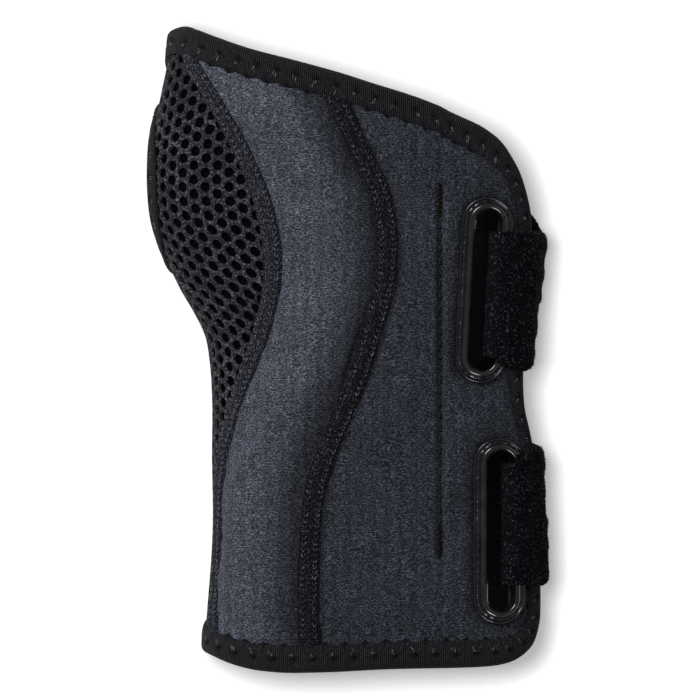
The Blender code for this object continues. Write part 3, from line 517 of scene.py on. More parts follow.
back_cloth = cut_sheet("back_cloth", 100, 200)
open_up(back_cloth, in_slots)
cloth_shares = np.round(points_of(back_cloth), 5)
cloth_x, cloth_y = back_cloth_spread(cloth_shares[:, 0], cloth_shares[:, 1])
# Painted shade: darker paint along the fold stitching, in a thin line beside the dorsal tape, and round the
# slot frames
cloth_painted_shade = where_sewn(cloth_y, 0.5, 0.1) * np.exp(-((cloth_x - FOLD_LINE) / 0.6) ** 2)
cloth_painted_shade += 0.6 * np.exp(-((cloth_x - dorsal_seam(cloth_y) - 3.2) / 0.8) ** 2)
cloth_painted_shade += 0.72 * np.exp(-np.maximum(nearest_slot(cloth_x, cloth_y) - 3.0, 0.0) / 1.3)
mark_painted_shade(back_cloth, cloth_painted_shade)
lay(back_cloth, back_cloth_place)
clothe(back_cloth, dark_knit, lining)
thicken(back_cloth, CLOTH_THICK, 0, 1)
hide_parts("dorsal_panel", "closure_flap")
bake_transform(back_cloth)


# Padded middle panel: lighter grey heather knit over soft foam, an S from the forearm to the thumb side of
# the fingers. Its edges are sewn flat into the two seams, and the foam swells between them.
THUMB_SEAM = ((-90.0, -37.4), (-78.6, -37.6), (-64.4, -36.7), (-51.3, -36.2), (-40.7, -35.9), (-29.8, -35.0),
              (-17.8, -32.0), (-3.6, -27.0), (3.3, -24.5), (12.3, -22.0), (21.2, -20.9), (28.4, -21.1),
              (37.3, -22.8), (44.3, -24.8), (50.1, -27.3), (61.9, -33.1), (71.0, -38.4), (78.6, -43.0),
              (90.0, -46.5))
PALM_CORNER = 9.0              # the palm side ends lower beside the closure
PANEL_CROWN = 2.6
SEAM_SHARE = 0.10              # share of the panel's width that the seam tapes hold down on each side
thumb_seam = curve(THUMB_SEAM)


def thumb_seam_at(y):
    return front_angle(thumb_seam(y), y)


def dorsal_seam_at(y):
    return front_angle(dorsal_seam(y), y)


def walk(angle, y, distance):
    # Angle reached by going the distance along the section, for short distances
    half_step = 0.25
    for share in (0.5, 1.0):
        here = angle if share == 0.5 else ahead
        turn = np.linalg.norm(skin(here + half_step, y, 0.0) - skin(here - half_step, y, 0.0), axis=-1)
        ahead = angle + distance * share * 2.0 * half_step / turn
    return ahead


def finger_end(angle):
    u, w, _ = section(angle)
    rounded = np.where(w < 0, PALM_CORNER * ease_between(0.5, 0.85, u), 0.0)
    return finger_edge(u * half_width(u, EDGE_Y)) - PALM_DROP * np.maximum(0.0, -w) - rounded


def forearm_end(angle):
    u, w, _ = section(angle)
    return forearm_edge(u * half_width(u, -EDGE_Y)) + PALM_RISE * np.maximum(0.0, -w)


def between_seams(left, right, across, along, inset):
    # Angle and Y between two lines that run along the sleeve
    y = mix(-EDGE_Y, EDGE_Y, along)
    for _ in range(12):
        angle = mix(left(y), right(y), across)
        y = mix(forearm_end(angle) + inset, finger_end(angle) - inset, along)
    return angle, y


def middle_panel_place(across, along):
    angle, y = between_seams(thumb_seam_at, dorsal_seam_at, across, along, CLOTH_EDGE)
    free = np.clip((across - SEAM_SHARE) / (1.0 - 2.0 * SEAM_SHARE), 0.0, 1.0)
    ends = ease_between(0.05, 0.11, np.minimum(along, 1.0 - along))
    crown = PANEL_CROWN * np.sin(math.pi * free ** 0.75) ** 0.7 * ends
    by_tape = np.exp(-np.minimum(free, 1.0 - free) / 0.09)
    pucker = 0.10 * np.sin(along * 190.0 + np.sin(along * 37.0)) * by_tape
    return skin(angle, y, np.where((free > 0) & (free < 1), crown + pucker * ends, 0.0))


def blow_up(piece, pinned, pressure, growth, reach):
    # Lets the foam press the cloth outwards between the pinned seams; no point moves beyond reach
    before = points_of(piece)
    seams = piece.vertex_groups.new(name="seams")
    seams.add([int(k) for k in np.nonzero(pinned)[0]], 1.0, "REPLACE")
    soft = piece.modifiers.new("soft", "CLOTH")
    soft.settings.vertex_group_mass = "seams"
    soft.settings.use_pressure = True
    soft.settings.uniform_pressure_force = pressure
    soft.settings.shrink_min = -growth
    soft.settings.mass = 0.05
    soft.settings.effector_weights.gravity = 0.0
    soft.settings.tension_stiffness = 12.0
    soft.settings.compression_stiffness = 12.0
    soft.settings.bending_stiffness = 0.4
    soft.point_cache.frame_start = 1
    soft.point_cache.frame_end = 20
    for step in range(1, 21):
        scene.frame_set(step)
    shaped = piece.evaluated_get(bpy.context.evaluated_depsgraph_get())
    after = np.array([vertex.co for vertex in shaped.data.vertices], float)
    piece.modifiers.remove(soft)
    piece.vertex_groups.clear()
    scene.frame_set(1)
    move = after - before
    far = np.linalg.norm(move, axis=1, keepdims=True)
    move *= np.minimum(1.0, reach * MM / np.maximum(far, 1e-9))
    put_points(piece, before + move)


grey_knit = heather_finish("grey_heather_knit", (0.053, 0.058, 0.074), (0.165, 0.176, 0.212),
                           (0.019, 0.021, 0.028), 0.75, 0.26)
middle_panel = cut_sheet("padded_panel", 44, 190)
panel_shares = points_of(middle_panel)
# Painted shade: the panel darkens from about its middle towards the dorsal seam
mark_painted_shade(middle_panel, 0.78 * ease_between(0.48, 0.93, panel_shares[:, 0]))
lay(middle_panel, middle_panel_place)
clothe(middle_panel, grey_knit, lining)
by_seam = np.minimum(panel_shares[:, 0], 1.0 - panel_shares[:, 0]) < SEAM_SHARE * 0.8
by_end = np.minimum(panel_shares[:, 1], 1.0 - panel_shares[:, 1]) < 0.04
blow_up(middle_panel, by_seam | by_end, 1.2, 0.012, 0.9)
thicken(middle_panel, CLOTH_THICK, 1, 1)
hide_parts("middle_panel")
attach(middle_panel, "sleeve")


# Spacer mesh round the thumb side: a black knitted net of round holes over a closed inner face. Hexagonal
# cells are cut, opened and laid round the side; cells inside the thumb hole are left out.
CELL = 2.31                    # from a cell's middle to its corners
RIDGE = 0.58                   # half of the yarn left between two holes
NET_THICK = 1.1
PALM_SEAM_ANGLE = 244.0
THUMB_ANGLE = 199.0
THUMB_Y = 44.9
THUMB_HALF_ANGLE = 31.0
THUMB_HALF_LENGTH = 19.5
NET_COLUMNS = 16
NET_ROWS = 46
side_angles = np.linspace(110.0, 262.0, 305)
side_rows = np.linspace(-92.0, 92.0, 93)
side_points_mm = skin(side_angles[None, :], side_rows[:, None], 0.0)
side_steps = np.linalg.norm(np.diff(side_points_mm, axis=1), axis=2)
side_lengths = np.concatenate([np.zeros((len(side_rows), 1)), np.cumsum(side_steps, axis=1)], axis=1)
half_round = np.array([np.interp(180.0, side_angles, row) for row in side_lengths])
side_lengths = side_lengths - half_round[:, None]       # measured from the outermost line of the side


def side_angle(length, y):
    # Angle at a length round the side from its outermost line, upwards negative
    row = np.clip((y - side_rows[0]) / (side_rows[1] - side_rows[0]), 0.0, len(side_rows) - 1.001)
    low = row.astype(int)
    angles = np.empty_like(y)
    for k in np.unique(low):
        here = low == k
        lengths = mix(side_lengths[k], side_lengths[k + 1], np.median(row[here]) - k)
        angles[here] = np.interp(length[here], lengths, side_angles)
    return angles


def thumb_distance(angle, y):
    # Share of the thumb hole's half sizes, 1 on the cloth's edge round the hole
    return np.hypot((angle - THUMB_ANGLE) / THUMB_HALF_ANGLE, (y - THUMB_Y) / THUMB_HALF_LENGTH)


bpy.ops.object.select_all(action="DESELECT")
bpy.ops.mesh.primitive_circle_add(vertices=6, radius=CELL, fill_type="NGON", rotation=(0.0, 0.0, math.pi / 6))
bpy.ops.object.transform_apply(location=True, rotation=True, scale=True)
net = bpy.context.object
net.name = "spacer_mesh"
net.data.name = "spacer_mesh"
low_half = CELL * math.sqrt(3.0) / 2
bpy.ops.object.mode_set(mode="EDIT")
bpy.ops.mesh.select_all(action="SELECT")
bpy.ops.mesh.duplicate()
bpy.ops.transform.translate(value=(1.5 * CELL, low_half, 0.0))
bpy.ops.object.mode_set(mode="OBJECT")
for label, count, step in (("columns", NET_COLUMNS, (3.0 * CELL, 0.0, 0.0)),
                           ("rows", NET_ROWS, (0.0, 2.0 * low_half, 0.0))):
    shape(net, label, "ARRAY", count=count, use_relative_offset=False, use_constant_offset=True,
          constant_offset_displace=step, use_merge_vertices=True, merge_threshold=0.01)
bpy.ops.object.mode_set(mode="EDIT")
bpy.ops.mesh.select_all(action="SELECT")
bpy.ops.mesh.remove_doubles(threshold=0.02)
bpy.ops.transform.translate(value=(-55.0, -93.0, 0.0))
bpy.ops.object.mode_set(mode="OBJECT")


def net_spread(points):
    # The flat net's X runs up the side towards the thumb seam
    return side_angle(-points[:, 0], points[:, 1]), points[:, 1]


net_points = points_of(net)
cell_middles = np.array([np.mean(net_points[list(face.vertices)], axis=0) for face in net.data.polygons])
cell_angle, cell_y = net_spread(cell_middles)
in_panel = (cell_angle > walk(thumb_seam_at(cell_y), cell_y, 1.2)) & (cell_angle < PALM_SEAM_ANGLE - 0.6)
in_panel &= (cell_y > forearm_end(cell_angle) + 3.4) & (cell_y < finger_end(cell_angle) - 3.4)
in_panel &= thumb_distance(cell_angle, cell_y) > 1.07
bpy.ops.object.mode_set(mode="EDIT")
bpy.ops.mesh.select_all(action="DESELECT")
bpy.ops.object.mode_set(mode="OBJECT")
for face, keep in zip(net.data.polygons, in_panel):
    face.select = not bool(keep)
bpy.ops.object.mode_set(mode="EDIT")
bpy.ops.mesh.select_mode(type="FACE")
bpy.ops.mesh.delete(type="FACE")
bpy.ops.mesh.select_all(action="SELECT")
bpy.ops.mesh.inset(thickness=RIDGE, use_individual=True, use_boundary=True)
bpy.ops.mesh.delete(type="FACE")
bpy.ops.object.mode_set(mode="OBJECT")
net_angle, net_y = net_spread(points_of(net))
put_points(net, skin(net_angle, net_y, 0.1) * MM)


def face_outwards():
    bpy.ops.object.mode_set(mode="EDIT")
    bpy.ops.mesh.select_all(action="SELECT")
    bpy.ops.mesh.normals_make_consistent(inside=False)
    bpy.ops.object.mode_set(mode="OBJECT")


face_outwards()
outward = sum(face.normal.x < 0 for face in net.data.polygons)
if outward < len(net.data.polygons) / 2:
    net.data.flip_normals()

# Net yarn: black, matt, with pale specks on the ridges that are painted glints
net_finish, net_tree, net_shader = finish_of("net_yarn", 0.8, 0.03, 0.08)
net_place = object_place(net_tree)
yarn_noise = noise(net_tree, net_place, 1600.0, 2.0, 0.6)
patch_noise = noise(net_tree, net_place, 60.0)
painted_glint = number(net_tree, "MULTIPLY", between(net_tree, yarn_noise, 0.50, 0.68),
              between(net_tree, patch_noise, 0.3, 0.7, 0.4, 1.0))
two_tone(net_tree, net_shader, painted_glint, (0.0080, 0.0083, 0.0105), (0.105, 0.109, 0.124))
raise_from(net_tree, net_shader, yarn_noise, 0.3)
clothe(net, net_finish)
thicken(net, NET_THICK, 1)
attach(net, "sleeve")


# Inner face of the spacer mesh: a closed black knit under the net, cut round the thumb hole and sewn into
# both seams. It carries the net, and shows through the net's holes.
FACE_LOW = -1.15
HOLE_ACROSS = (0.10, 0.56)     # shares of the cut that the thumb hole takes
HOLE_ALONG = (0.64, 0.90)


def palm_seam_at(y):
    return np.full_like(y, PALM_SEAM_ANGLE)


def inner_face_place(across, along):
    # Points around the hole are drawn to its outline
    angle, y = between_seams(palm_seam_at, thumb_seam_at, across, along, CLOTH_EDGE)
    side = (across - sum(HOLE_ACROSS) / 2) / ((HOLE_ACROSS[1] - HOLE_ACROSS[0]) / 2)
    end = (along - sum(HOLE_ALONG) / 2) / ((HOLE_ALONG[1] - HOLE_ALONG[0]) / 2)
    reach = np.maximum(np.abs(side), np.abs(end))
    turn = np.arctan2(end, side)
    pull = np.clip((1.4 - reach) / 0.4, 0.0, 1.0)
    angle = mix(angle, THUMB_ANGLE - reach * THUMB_HALF_ANGLE * np.cos(turn), pull)
    y = mix(y, THUMB_Y + reach * THUMB_HALF_LENGTH * np.sin(turn), pull)
    return skin(angle, y, FACE_LOW)


def in_thumb_hole(across, along):
    return HOLE_ACROSS[0] < across < HOLE_ACROSS[1] and HOLE_ALONG[0] < along < HOLE_ALONG[1]


inner_face = cut_sheet("spacer_inner_face", 50, 100)
open_up(inner_face, in_thumb_hole)
lay(inner_face, inner_face_place)
# Near black: the knit's own black, darkened further as painted shade in the net's holes
dark_face, dark_tree, dark_shader = finish_of("black_inner_knit_and_painted_shade", 1.0, 0.0, 0.0)
dark_noise = noise(dark_tree, object_place(dark_tree), 1700.0, 3.0)
two_tone(dark_tree, dark_shader, between(dark_tree, dark_noise, 0.35, 0.75), (0.0008, 0.0008, 0.001),
         (0.0035, 0.0035, 0.0042))
raise_from(dark_tree, dark_shader, dark_noise, 0.2)
clothe(inner_face, dark_face, lining)
thicken(inner_face, CLOTH_THICK + FACE_LOW, 0, 1)
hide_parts("thumb_mesh")
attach(inner_face, "sleeve")


# Palm panel: the same dark knit on foam, from the palm seam to a free bound edge under the closure. It
# lies inside the straps when the splint is worn.
PALM_EDGE = HALF_WIDTH - 7.5


def palm_angle(x, y):
    u = np.clip(x / half_width(x, y), -0.9995, 0.9995)
    n = np.where(x >= 0, PALM_EDGE_SQUARENESS, PALM_SQUARENESS)
    return 360.0 - np.degrees(np.arctan2((1.0 - np.abs(u) ** n) ** (1.0 / n), u))


def palm_edge_at(y):
    return palm_angle(np.full_like(y, PALM_EDGE - CLOTH_EDGE), y)


def palm_panel_place(across, along):
    angle, y = between_seams(palm_edge_at, palm_seam_at, across, along, CLOTH_EDGE)
    return skin(angle, y, 0.0)


palm_panel = cut_sheet("palm_cloth", 40, 90)
lay(palm_panel, palm_panel_place)
clothe(palm_panel, dark_knit, lining)
thicken(palm_panel, CLOTH_THICK, 0, 1)
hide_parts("palm_panel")
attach(palm_panel, "sleeve")


# Seam tapes: narrow black knitted tapes over the butted seams, each sewn down by two rows of slanted
# flat stitches. The one at the palm lies inside the sleeve.
DORSAL_TAPE_WIDTH = 6.6
THUMB_TAPE_WIDTH = 5.2
PALM_TAPE_WIDTH = 6.0
TAPE_THICK = 0.7
TAPE_LENGTH = 165.0            # about, for the scale of the weave
TAPE_INSET = 5.5               # the tapes end this far inside the bound edges
SEAM_STITCH = 1.6              # pitch of the slanted stitches
TAPE_ROWS = (0.25, 0.75)       # shares of the tape's width where the stitch rows lie


def scale_uv(piece, wide, long):
    # Makes the sheet's UV map a measure in millimetres
    layer = piece.data.uv_layers.active.data
    flat = np.empty(len(layer) * 2, np.float32)
    layer.foreach_get("uv", flat)
    flat = flat.reshape(-1, 2) * np.array([wide, long], np.float32)
    layer.foreach_set("uv", flat.ravel())


# The woven rib: fine ridges across a tape, on the tape's own UV map in millimetres
rib, rib_in, rib_out = start_group(
    "tape_rib",
    (("NodeSocketFloat", "Ridges", 0.56), ("NodeSocketColor", "Yarn", (0.02, 0.02, 0.02, 1.0)),
     ("NodeSocketColor", "Painted Glint", (0.08, 0.08, 0.08, 1.0)),
     ("NodeSocketColor", "Shade", (0.005, 0.005, 0.005, 1.0)), ("NodeSocketFloat", "Painted Glint Share", 0.5)),
    (("NodeSocketColor", "Colour"), ("NodeSocketFloat", "Height")))
rib_place = add(rib, "ShaderNodeTexCoord")
ridges = bands(rib, rib_place.outputs["UV"], rib_in.outputs["Ridges"], "Y", 1.6, 2.0, 1.2)
rib_fibres = noise(rib, rib_place.outputs["Object"], 1700.0, 2.0, 0.6)
rib_patches = noise(rib, rib_place.outputs["Object"], 140.0)
# Painted glints: pale flecks in patches, mixed into the colour
rib_painted_glints = number(rib, "MULTIPLY", between(rib, rib_fibres, 0.52, 0.68),
                  between(rib, rib_patches, 0.35, 0.7, 0.5, 1.0))
rib_painted_glints = number(rib, "MULTIPLY", rib_painted_glints, rib_in.outputs["Painted Glint Share"])
# Painted shade: darker between the ridges, and near black where a piece marks painted shade
rib_colour = blend_colours(rib, between(rib, ridges, 0.1, 0.8), rib_in.outputs["Shade"],
                           rib_in.outputs["Yarn"])
rib_colour = blend_colours(rib, rib_painted_glints, rib_colour, rib_in.outputs["Painted Glint"])
rib_painted_shade = add(rib, "ShaderNodeAttribute", attribute_name="painted_shade").outputs["Fac"]
rib_colour = blend_colours(rib, rib_painted_shade, rib_colour, (0.0012, 0.0012, 0.0016, 1.0))
rib.links.new(rib_colour, rib_out.inputs["Colour"])
rib.links.new(number(rib, "MULTIPLY_ADD", rib_fibres, 0.4, ridges),
              rib_out.inputs["Height"])


def rib_finish(name, ridges, yarn, painted_glint, shade, glint_share, bump):
    material, tree, shader = finish_of(name, 0.85, 0.02, 0.07)
    weave = add(tree, "ShaderNodeGroup", node_tree=rib)
    weave.inputs["Ridges"].default_value = ridges
    weave.inputs["Yarn"].default_value = (*yarn, 1.0)
    weave.inputs["Painted Glint"].default_value = (*painted_glint, 1.0)
    weave.inputs["Shade"].default_value = (*shade, 1.0)
    weave.inputs["Painted Glint Share"].default_value = glint_share
    tree.links.new(weave.outputs["Colour"], shader.inputs["Base Color"])
    raise_from(tree, shader, weave.outputs["Height"], bump)
    return material


dorsal_tape_finish = rib_finish("dorsal_tape_knit", 0.40, (0.0046, 0.0045, 0.0070), (0.070, 0.070, 0.088),
                                (0.0018, 0.0018, 0.0028), 0.5, 0.18)
thumb_tape_finish = rib_finish("thumb_tape_knit", 0.40, (0.0130, 0.0135, 0.0190), (0.095, 0.098, 0.120),
                               (0.0036, 0.0036, 0.0055), 0.9, 0.18)

# Sewing thread: black, slightly glossy, with its plies showing as a fine twist in the bump; the pale specks
# in its colour are painted glints
def thread_finish(name, dark, pale, low, high):
    material, tree, shader = finish_of(name, 0.6, 0.0, 0.2)
    plies_and_painted_glints = noise(tree, object_place(tree), 1500.0, 2.0, 0.6)
    two_tone(tree, shader, between(tree, plies_and_painted_glints, low, high), dark, pale)
    raise_from(tree, shader, plies_and_painted_glints, 0.12)
    return material


thread = thread_finish("black_thread", (0.0022, 0.0022, 0.0030), (0.030, 0.030, 0.036), 0.56, 0.70)
bead_thread = thread_finish("glinting_thread", (0.0045, 0.0045, 0.0068), (0.095, 0.096, 0.114), 0.54, 0.67)
fine_thread = thread_finish("tape_thread", (0.0090, 0.0095, 0.0135), (0.082, 0.086, 0.106), 0.46, 0.66)
tack_thread = thread_finish("fold_thread", (0.0016, 0.0016, 0.0022), (0.085, 0.085, 0.095), 0.62, 0.72)
# Pale thread for the short ticks beside the bindings' needle holes: its colour is a painted glint
tick_thread = thread_finish("painted_glint_thread", (0.012, 0.012, 0.014), (0.150, 0.150, 0.162), 0.44, 0.62)


def normal_at(angle, y):
    return skin(angle, y, 1.0) - skin(angle, y, 0.0)


def sew(name, first, last, upward, thickness, bow, material):
    # A row of stitches, each one grain of thread from its first to its last point, bowed off the cloth
    bpy.ops.object.select_all(action="DESELECT")
    bpy.ops.mesh.primitive_uv_sphere_add(segments=6, ring_count=5, radius=1.0)
    grain = bpy.context.object
    grain_points = points_of(grain)
    grain_faces = [tuple(face.vertices) for face in grain.data.polygons]
    bpy.data.objects.remove(grain, do_unlink=True)
    round_size = np.hypot(grain_points[:, 0], grain_points[:, 1])
    fuller = np.where(round_size > 1e-6, np.maximum(round_size, 1e-6) ** -0.45, 0.0)
    along = last - first
    length = np.linalg.norm(along, axis=1, keepdims=True)
    along = along / length
    side = np.cross(upward, along)
    side = side / np.linalg.norm(side, axis=1, keepdims=True)
    above = np.cross(along, side)
    middle = (first + last) / 2
    z = grain_points[:, 2]
    sideways = grain_points[:, 0] * fuller * thickness / 2
    upwards = grain_points[:, 1] * fuller * thickness / 2 + bow * (1.0 - z * z)
    places = (middle[:, None, :] + along[:, None, :] * (length / 2)[:, None, :] * z[None, :, None]
              + side[:, None, :] * sideways[None, :, None] + above[:, None, :] * upwards[None, :, None])
    count = len(grain_points)
    faces = [tuple(int(k + row * count) for k in face) for row in range(len(first)) for face in grain_faces]
    mesh = bpy.data.meshes.new(name)
    mesh.from_pydata((places.reshape(-1, 3) * MM).tolist(), [], faces)
    row = bpy.data.objects.new(name, mesh)
    bpy.context.collection.objects.link(row)
    row.data.materials.append(material)
    only(row)
    face_outwards()
    bpy.ops.object.shade_smooth()
    return row


def seam_line(seam, y, distance):
    return walk(seam(y), y, distance)


def seam_tape(name, seam, width, low, node, material, stitching, outside=True):
    def place(across, along):
        offset = (0.5 - across) * width if outside else (across - 0.5) * width

        def line(at):
            return seam_line(seam, at, offset)

        angle, y = between_seams(line, line, 0.0, along, TAPE_INSET)
        crown = np.sin(math.pi * across) ** 0.5
        groove = sum(np.exp(-((across - row) * width / 0.75) ** 2) for row in TAPE_ROWS)
        ends = ease_between(0.0, 0.012, np.minimum(along, 1.0 - along))
        lift = low + (0.15 + 0.75 * crown - 0.38 * groove) * (1.0 if outside else -1.0) * ends
        return skin(angle, y, lift)

    tape = cut_sheet(name, 14, 240)
    lay(tape, place)
    scale_uv(tape, width, TAPE_LENGTH)
    tape.data.materials.append(material)
    thicken(tape, TAPE_THICK)
    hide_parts(node)
    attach(tape, "sleeve")
    ys = np.arange(-80.0, 88.0, SEAM_STITCH)
    first = []
    last = []
    upward = []
    for row in TAPE_ROWS:
        for lean in (-1.0, 1.0):
            side = (0.5 - row) * width
            angle = seam_line(seam, ys, side + lean * 0.62)
            inner = seam_line(seam, ys, side)
            lift = low + (0.55 if outside else -0.55)
            up = normal_at(angle, ys) * (1.0 if outside else -1.0)
            keep = (ys > forearm_end(angle) + 8.2) & (ys < finger_end(angle) - 8.6)
            first.append(skin(angle, ys + 0.95, lift)[keep])
            last.append(skin(inner, ys - 0.62, lift)[keep])
            upward.append(up[keep])
    stitches = sew(name + "_stitches", np.concatenate(first), np.concatenate(last), np.concatenate(upward),
                   0.56, 0.16, stitching)
    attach(stitches, "sleeve")


seam_tape("dorsal_tape", dorsal_seam_at, DORSAL_TAPE_WIDTH, 0.1, "dorsal_seam_tape", dorsal_tape_finish,
          bead_thread)
seam_tape("thumb_tape", thumb_seam_at, THUMB_TAPE_WIDTH, 0.1, "thumb_seam_tape", thumb_tape_finish,
          fine_thread)
seam_tape("palm_tape", palm_seam_at, PALM_TAPE_WIDTH, -CLOTH_THICK - 0.1, "palm_seam_tape",
          dorsal_tape_finish, fine_thread, False)


# Bindings: black ribbed tape folded over each raw edge and sewn through with one zigzag. The zigzag pulls
# the tape's inner edge into points and dimples the tape between them.
BINDING_WIDTH = 8.0
BINDING_THICK = 0.6
ZIGZAG = 5.6                   # length of one zigzag
# Share inwards from the edge and lift, from the tape's outer tip round the edge to its inner tip
BINDING_SECTION = ((1.0, 0.28), (0.93, 0.62), (0.80, 0.80), (0.62, 1.02), (0.45, 1.16), (0.30, 1.16),
                   (0.17, 0.95),
                   (0.07, 0.35), (0.018, -0.6), (0.0, -1.6), (0.018, -2.6), (0.07, -3.5), (0.17, -4.0),
                   (0.35, -4.2), (0.60, -4.2), (0.85, -4.15), (1.0, -4.0))
section_steps = np.linspace(0.0, 1.0, len(BINDING_SECTION))
binding_share = curve([(step, point[0]) for step, point in zip(section_steps, BINDING_SECTION)])
binding_lift = curve([(step, point[1]) for step, point in zip(section_steps, BINDING_SECTION)])
OUTER_LEG = 0.42               # share of the tape's section that is its outer leg
UPPER_STITCH = 0.47            # shares inwards of the zigzag's two rows of needle holes
LOWER_STITCH = 0.95
binding_finish = rib_finish("ribbed_binding", 0.54, (0.0175, 0.0170, 0.0200), (0.050, 0.050, 0.057),
                            (0.0018, 0.0018, 0.0026), 0.4, 0.28)


def even_steps(points, spacing):
    # Values of the line's parameter at even lengths along it
    steps = np.linalg.norm(np.diff(points, axis=0), axis=1)
    length = np.concatenate([[0.0], np.cumsum(steps)])
    count = max(8, int(length[-1] / spacing))
    even = np.linspace(0.0, length[-1], count + 1)
    return np.interp(even, length, np.linspace(0.0, 1.0, len(points))), length[-1]


def bind(name, edge, node, closed=False, sign=1.0, zigzags=True):
    # edge takes the parameter along the edge, a share of the width inwards and a lift
    line = np.linspace(0.0, 1.0, 1200)
    stations, length = even_steps(edge(line, 0.0 * line, 0.0 * line), 0.62)
    turns = round(length / ZIGZAG)
    rows = len(stations) - 1
    painted_shade = []

    def place(across, along):
        t = np.interp(along, np.linspace(0.0, 1.0, rows + 1), stations)
        phase = along * turns
        to_point = np.abs(phase - np.round(phase)) * ZIGZAG
        to_dimple = np.abs(phase - np.floor(phase) - 0.5) * ZIGZAG
        share = binding_share(across)
        lift = binding_lift(across)
        on_tip = np.exp(-(across / 0.10) ** 2)
        share = share + on_tip * (0.17 * np.exp(-to_point / 1.0) - 0.07)
        outer = across < OUTER_LEG
        dimple = np.exp(-(to_dimple / 1.0) ** 2 - ((share - UPPER_STITCH) * BINDING_WIDTH / 0.8) ** 2)
        pinch = np.exp(-(to_point / 0.8) ** 2 - ((share - LOWER_STITCH - 0.06) * BINDING_WIDTH / 1.0) ** 2)
        puff = 0.16 * np.sin(math.pi * np.clip(to_point / (ZIGZAG / 2), 0.0, 1.0))
        puff = puff * np.exp(-((share - 0.8) / 0.2) ** 2)
        # Painted shade in the zigzag's dimples and at its points
        painted_shade.append(np.where(outer, 1.1 * dimple + 0.95 * pinch, 0.0))
        return edge(t, share, lift + np.where(outer, puff - 0.7 * dimple - 0.35 * pinch, 0.0))

    tape = cut_sheet(name, 30, rows)
    lay(tape, place)
    mark_painted_shade(tape, painted_shade[-1])
    scale_uv(tape, 2 * BINDING_WIDTH + 4.0, length)
    tape.data.materials.append(binding_finish)
    if closed:
        only(tape)
        bpy.ops.object.mode_set(mode="EDIT")
        bpy.ops.mesh.select_all(action="SELECT")
        bpy.ops.mesh.remove_doubles(threshold=1e-5)
        bpy.ops.object.mode_set(mode="OBJECT")
    if sign < 0:
        tape.data.flip_normals()
    thicken(tape, BINDING_THICK)
    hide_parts(node)
    made = [tape]
    if zigzags:
        corners = np.arange(2 * turns + (0 if closed else 1)) / (2.0 * turns)
        t = np.interp(corners, np.linspace(0.0, 1.0, rows + 1), stations)
        even = np.arange(len(corners)) % 2 == 0
        share = np.where(even, LOWER_STITCH + 0.02, UPPER_STITCH)
        lift = np.where(even, 0.42, 0.72)
        points = edge(t, share, lift)
        above = edge(t, share, lift + 1.0) - points
        follow = np.roll(points, -1, axis=0)
        last = len(points) if closed else len(points) - 1
        stitches = sew(name + "_zigzag", points[:last], follow[:last], above[:last], 0.42, 0.42, thread)
        made.append(stitches)
        # Short ticks of pale thread by the upper needle holes, whose colour is a painted glint
        rng = np.random.default_rng(len(name))
        upper = np.repeat(corners[1::2], 2) + np.tile([0.06, 0.16], turns) / turns
        heads = np.interp(upper, np.linspace(0.0, 1.0, rows + 1), stations)
        tails = upper + rng.uniform(0.03, 0.12, 2 * turns) / turns
        tails = np.interp(tails, np.linspace(0.0, 1.0, rows + 1), stations)
        start = UPPER_STITCH + rng.uniform(0.02, 0.14, 2 * turns)
        reach = start + rng.uniform(0.10, 0.26, 2 * turns)
        first = edge(heads, start, np.full_like(heads, 0.98))
        last = edge(tails, reach, np.full_like(heads, 0.90))
        above = edge(heads, start, np.full_like(heads, 2.0)) - first
        ticks = sew(name + "_ticks", first, last, above, 0.30, 0.12, tick_thread)
        made.append(ticks)
    return made


SLEEVE_BINDING_X = 16.0        # the sleeve's end bindings stop here, and the flap's go on across the fold
palm_edge_angle = float(palm_angle(np.array(PALM_EDGE), np.array(0.0)))


def finger_binding_edge(t, share, lift):
    start = front_angle(np.array(SLEEVE_BINDING_X), np.array(70.0))
    angle = mix(start, palm_edge_angle, t)
    return skin(angle, finger_end(angle) - share * BINDING_WIDTH, lift)


def forearm_binding_edge(t, share, lift):
    start = front_angle(np.array(SLEEVE_BINDING_X), np.array(-88.0))
    angle = mix(start, palm_edge_angle, t)
    return skin(angle, forearm_end(angle) + share * BINDING_WIDTH, lift)


def palm_binding_edge(t, share, lift):
    low = forearm_end(palm_edge_angle) + BINDING_WIDTH
    high = finger_end(palm_edge_angle) - BINDING_WIDTH - 1.0
    y = mix(low, high, t)
    edge_angle = np.full_like(y, palm_edge_angle)
    return skin(walk(edge_angle, y, -share * BINDING_WIDTH), y, lift)


THUMB_BINDING_WIDTH = 5.8


def thumb_binding_edge(t, share, lift):
    turn = 2.0 * math.pi * t
    depth = share * THUMB_BINDING_WIDTH - CLOTH_EDGE
    y = THUMB_Y + (THUMB_HALF_LENGTH + depth) * np.sin(turn)
    angle = walk(THUMB_ANGLE + THUMB_HALF_ANGLE * np.cos(turn), y, depth * np.cos(turn))
    return skin(angle, y, lift)


# The flap's binding starts and ends on the sleeve's side of the fold, along the two end edges
lead = np.linspace(SLEEVE_BINDING_X, FOLD_LINE, 5)
edge_x = np.concatenate([lead[:-1], rim_x, lead[-2::-1]])
edge_y = np.concatenate([finger_edge(lead[:-1]), rim_y, forearm_edge(lead[-2::-1])])
edge_reach_x = np.concatenate([np.zeros(4), rim_reach[:, 0], np.zeros(4)])
edge_reach_y = np.concatenate([np.full(4, 8.0), rim_reach[:, 1], np.full(4, -8.0)])
edge_steps = np.concatenate([[0.0], np.cumsum(np.hypot(np.diff(edge_x), np.diff(edge_y)))])
edge_steps = edge_steps / edge_steps[-1]
flap_edge_x = curve(np.stack([edge_steps, edge_x], axis=1))
flap_edge_y = curve(np.stack([edge_steps, edge_y], axis=1))
flap_reach_x = curve(np.stack([edge_steps, edge_reach_x], axis=1))
flap_reach_y = curve(np.stack([edge_steps, edge_reach_y], axis=1))


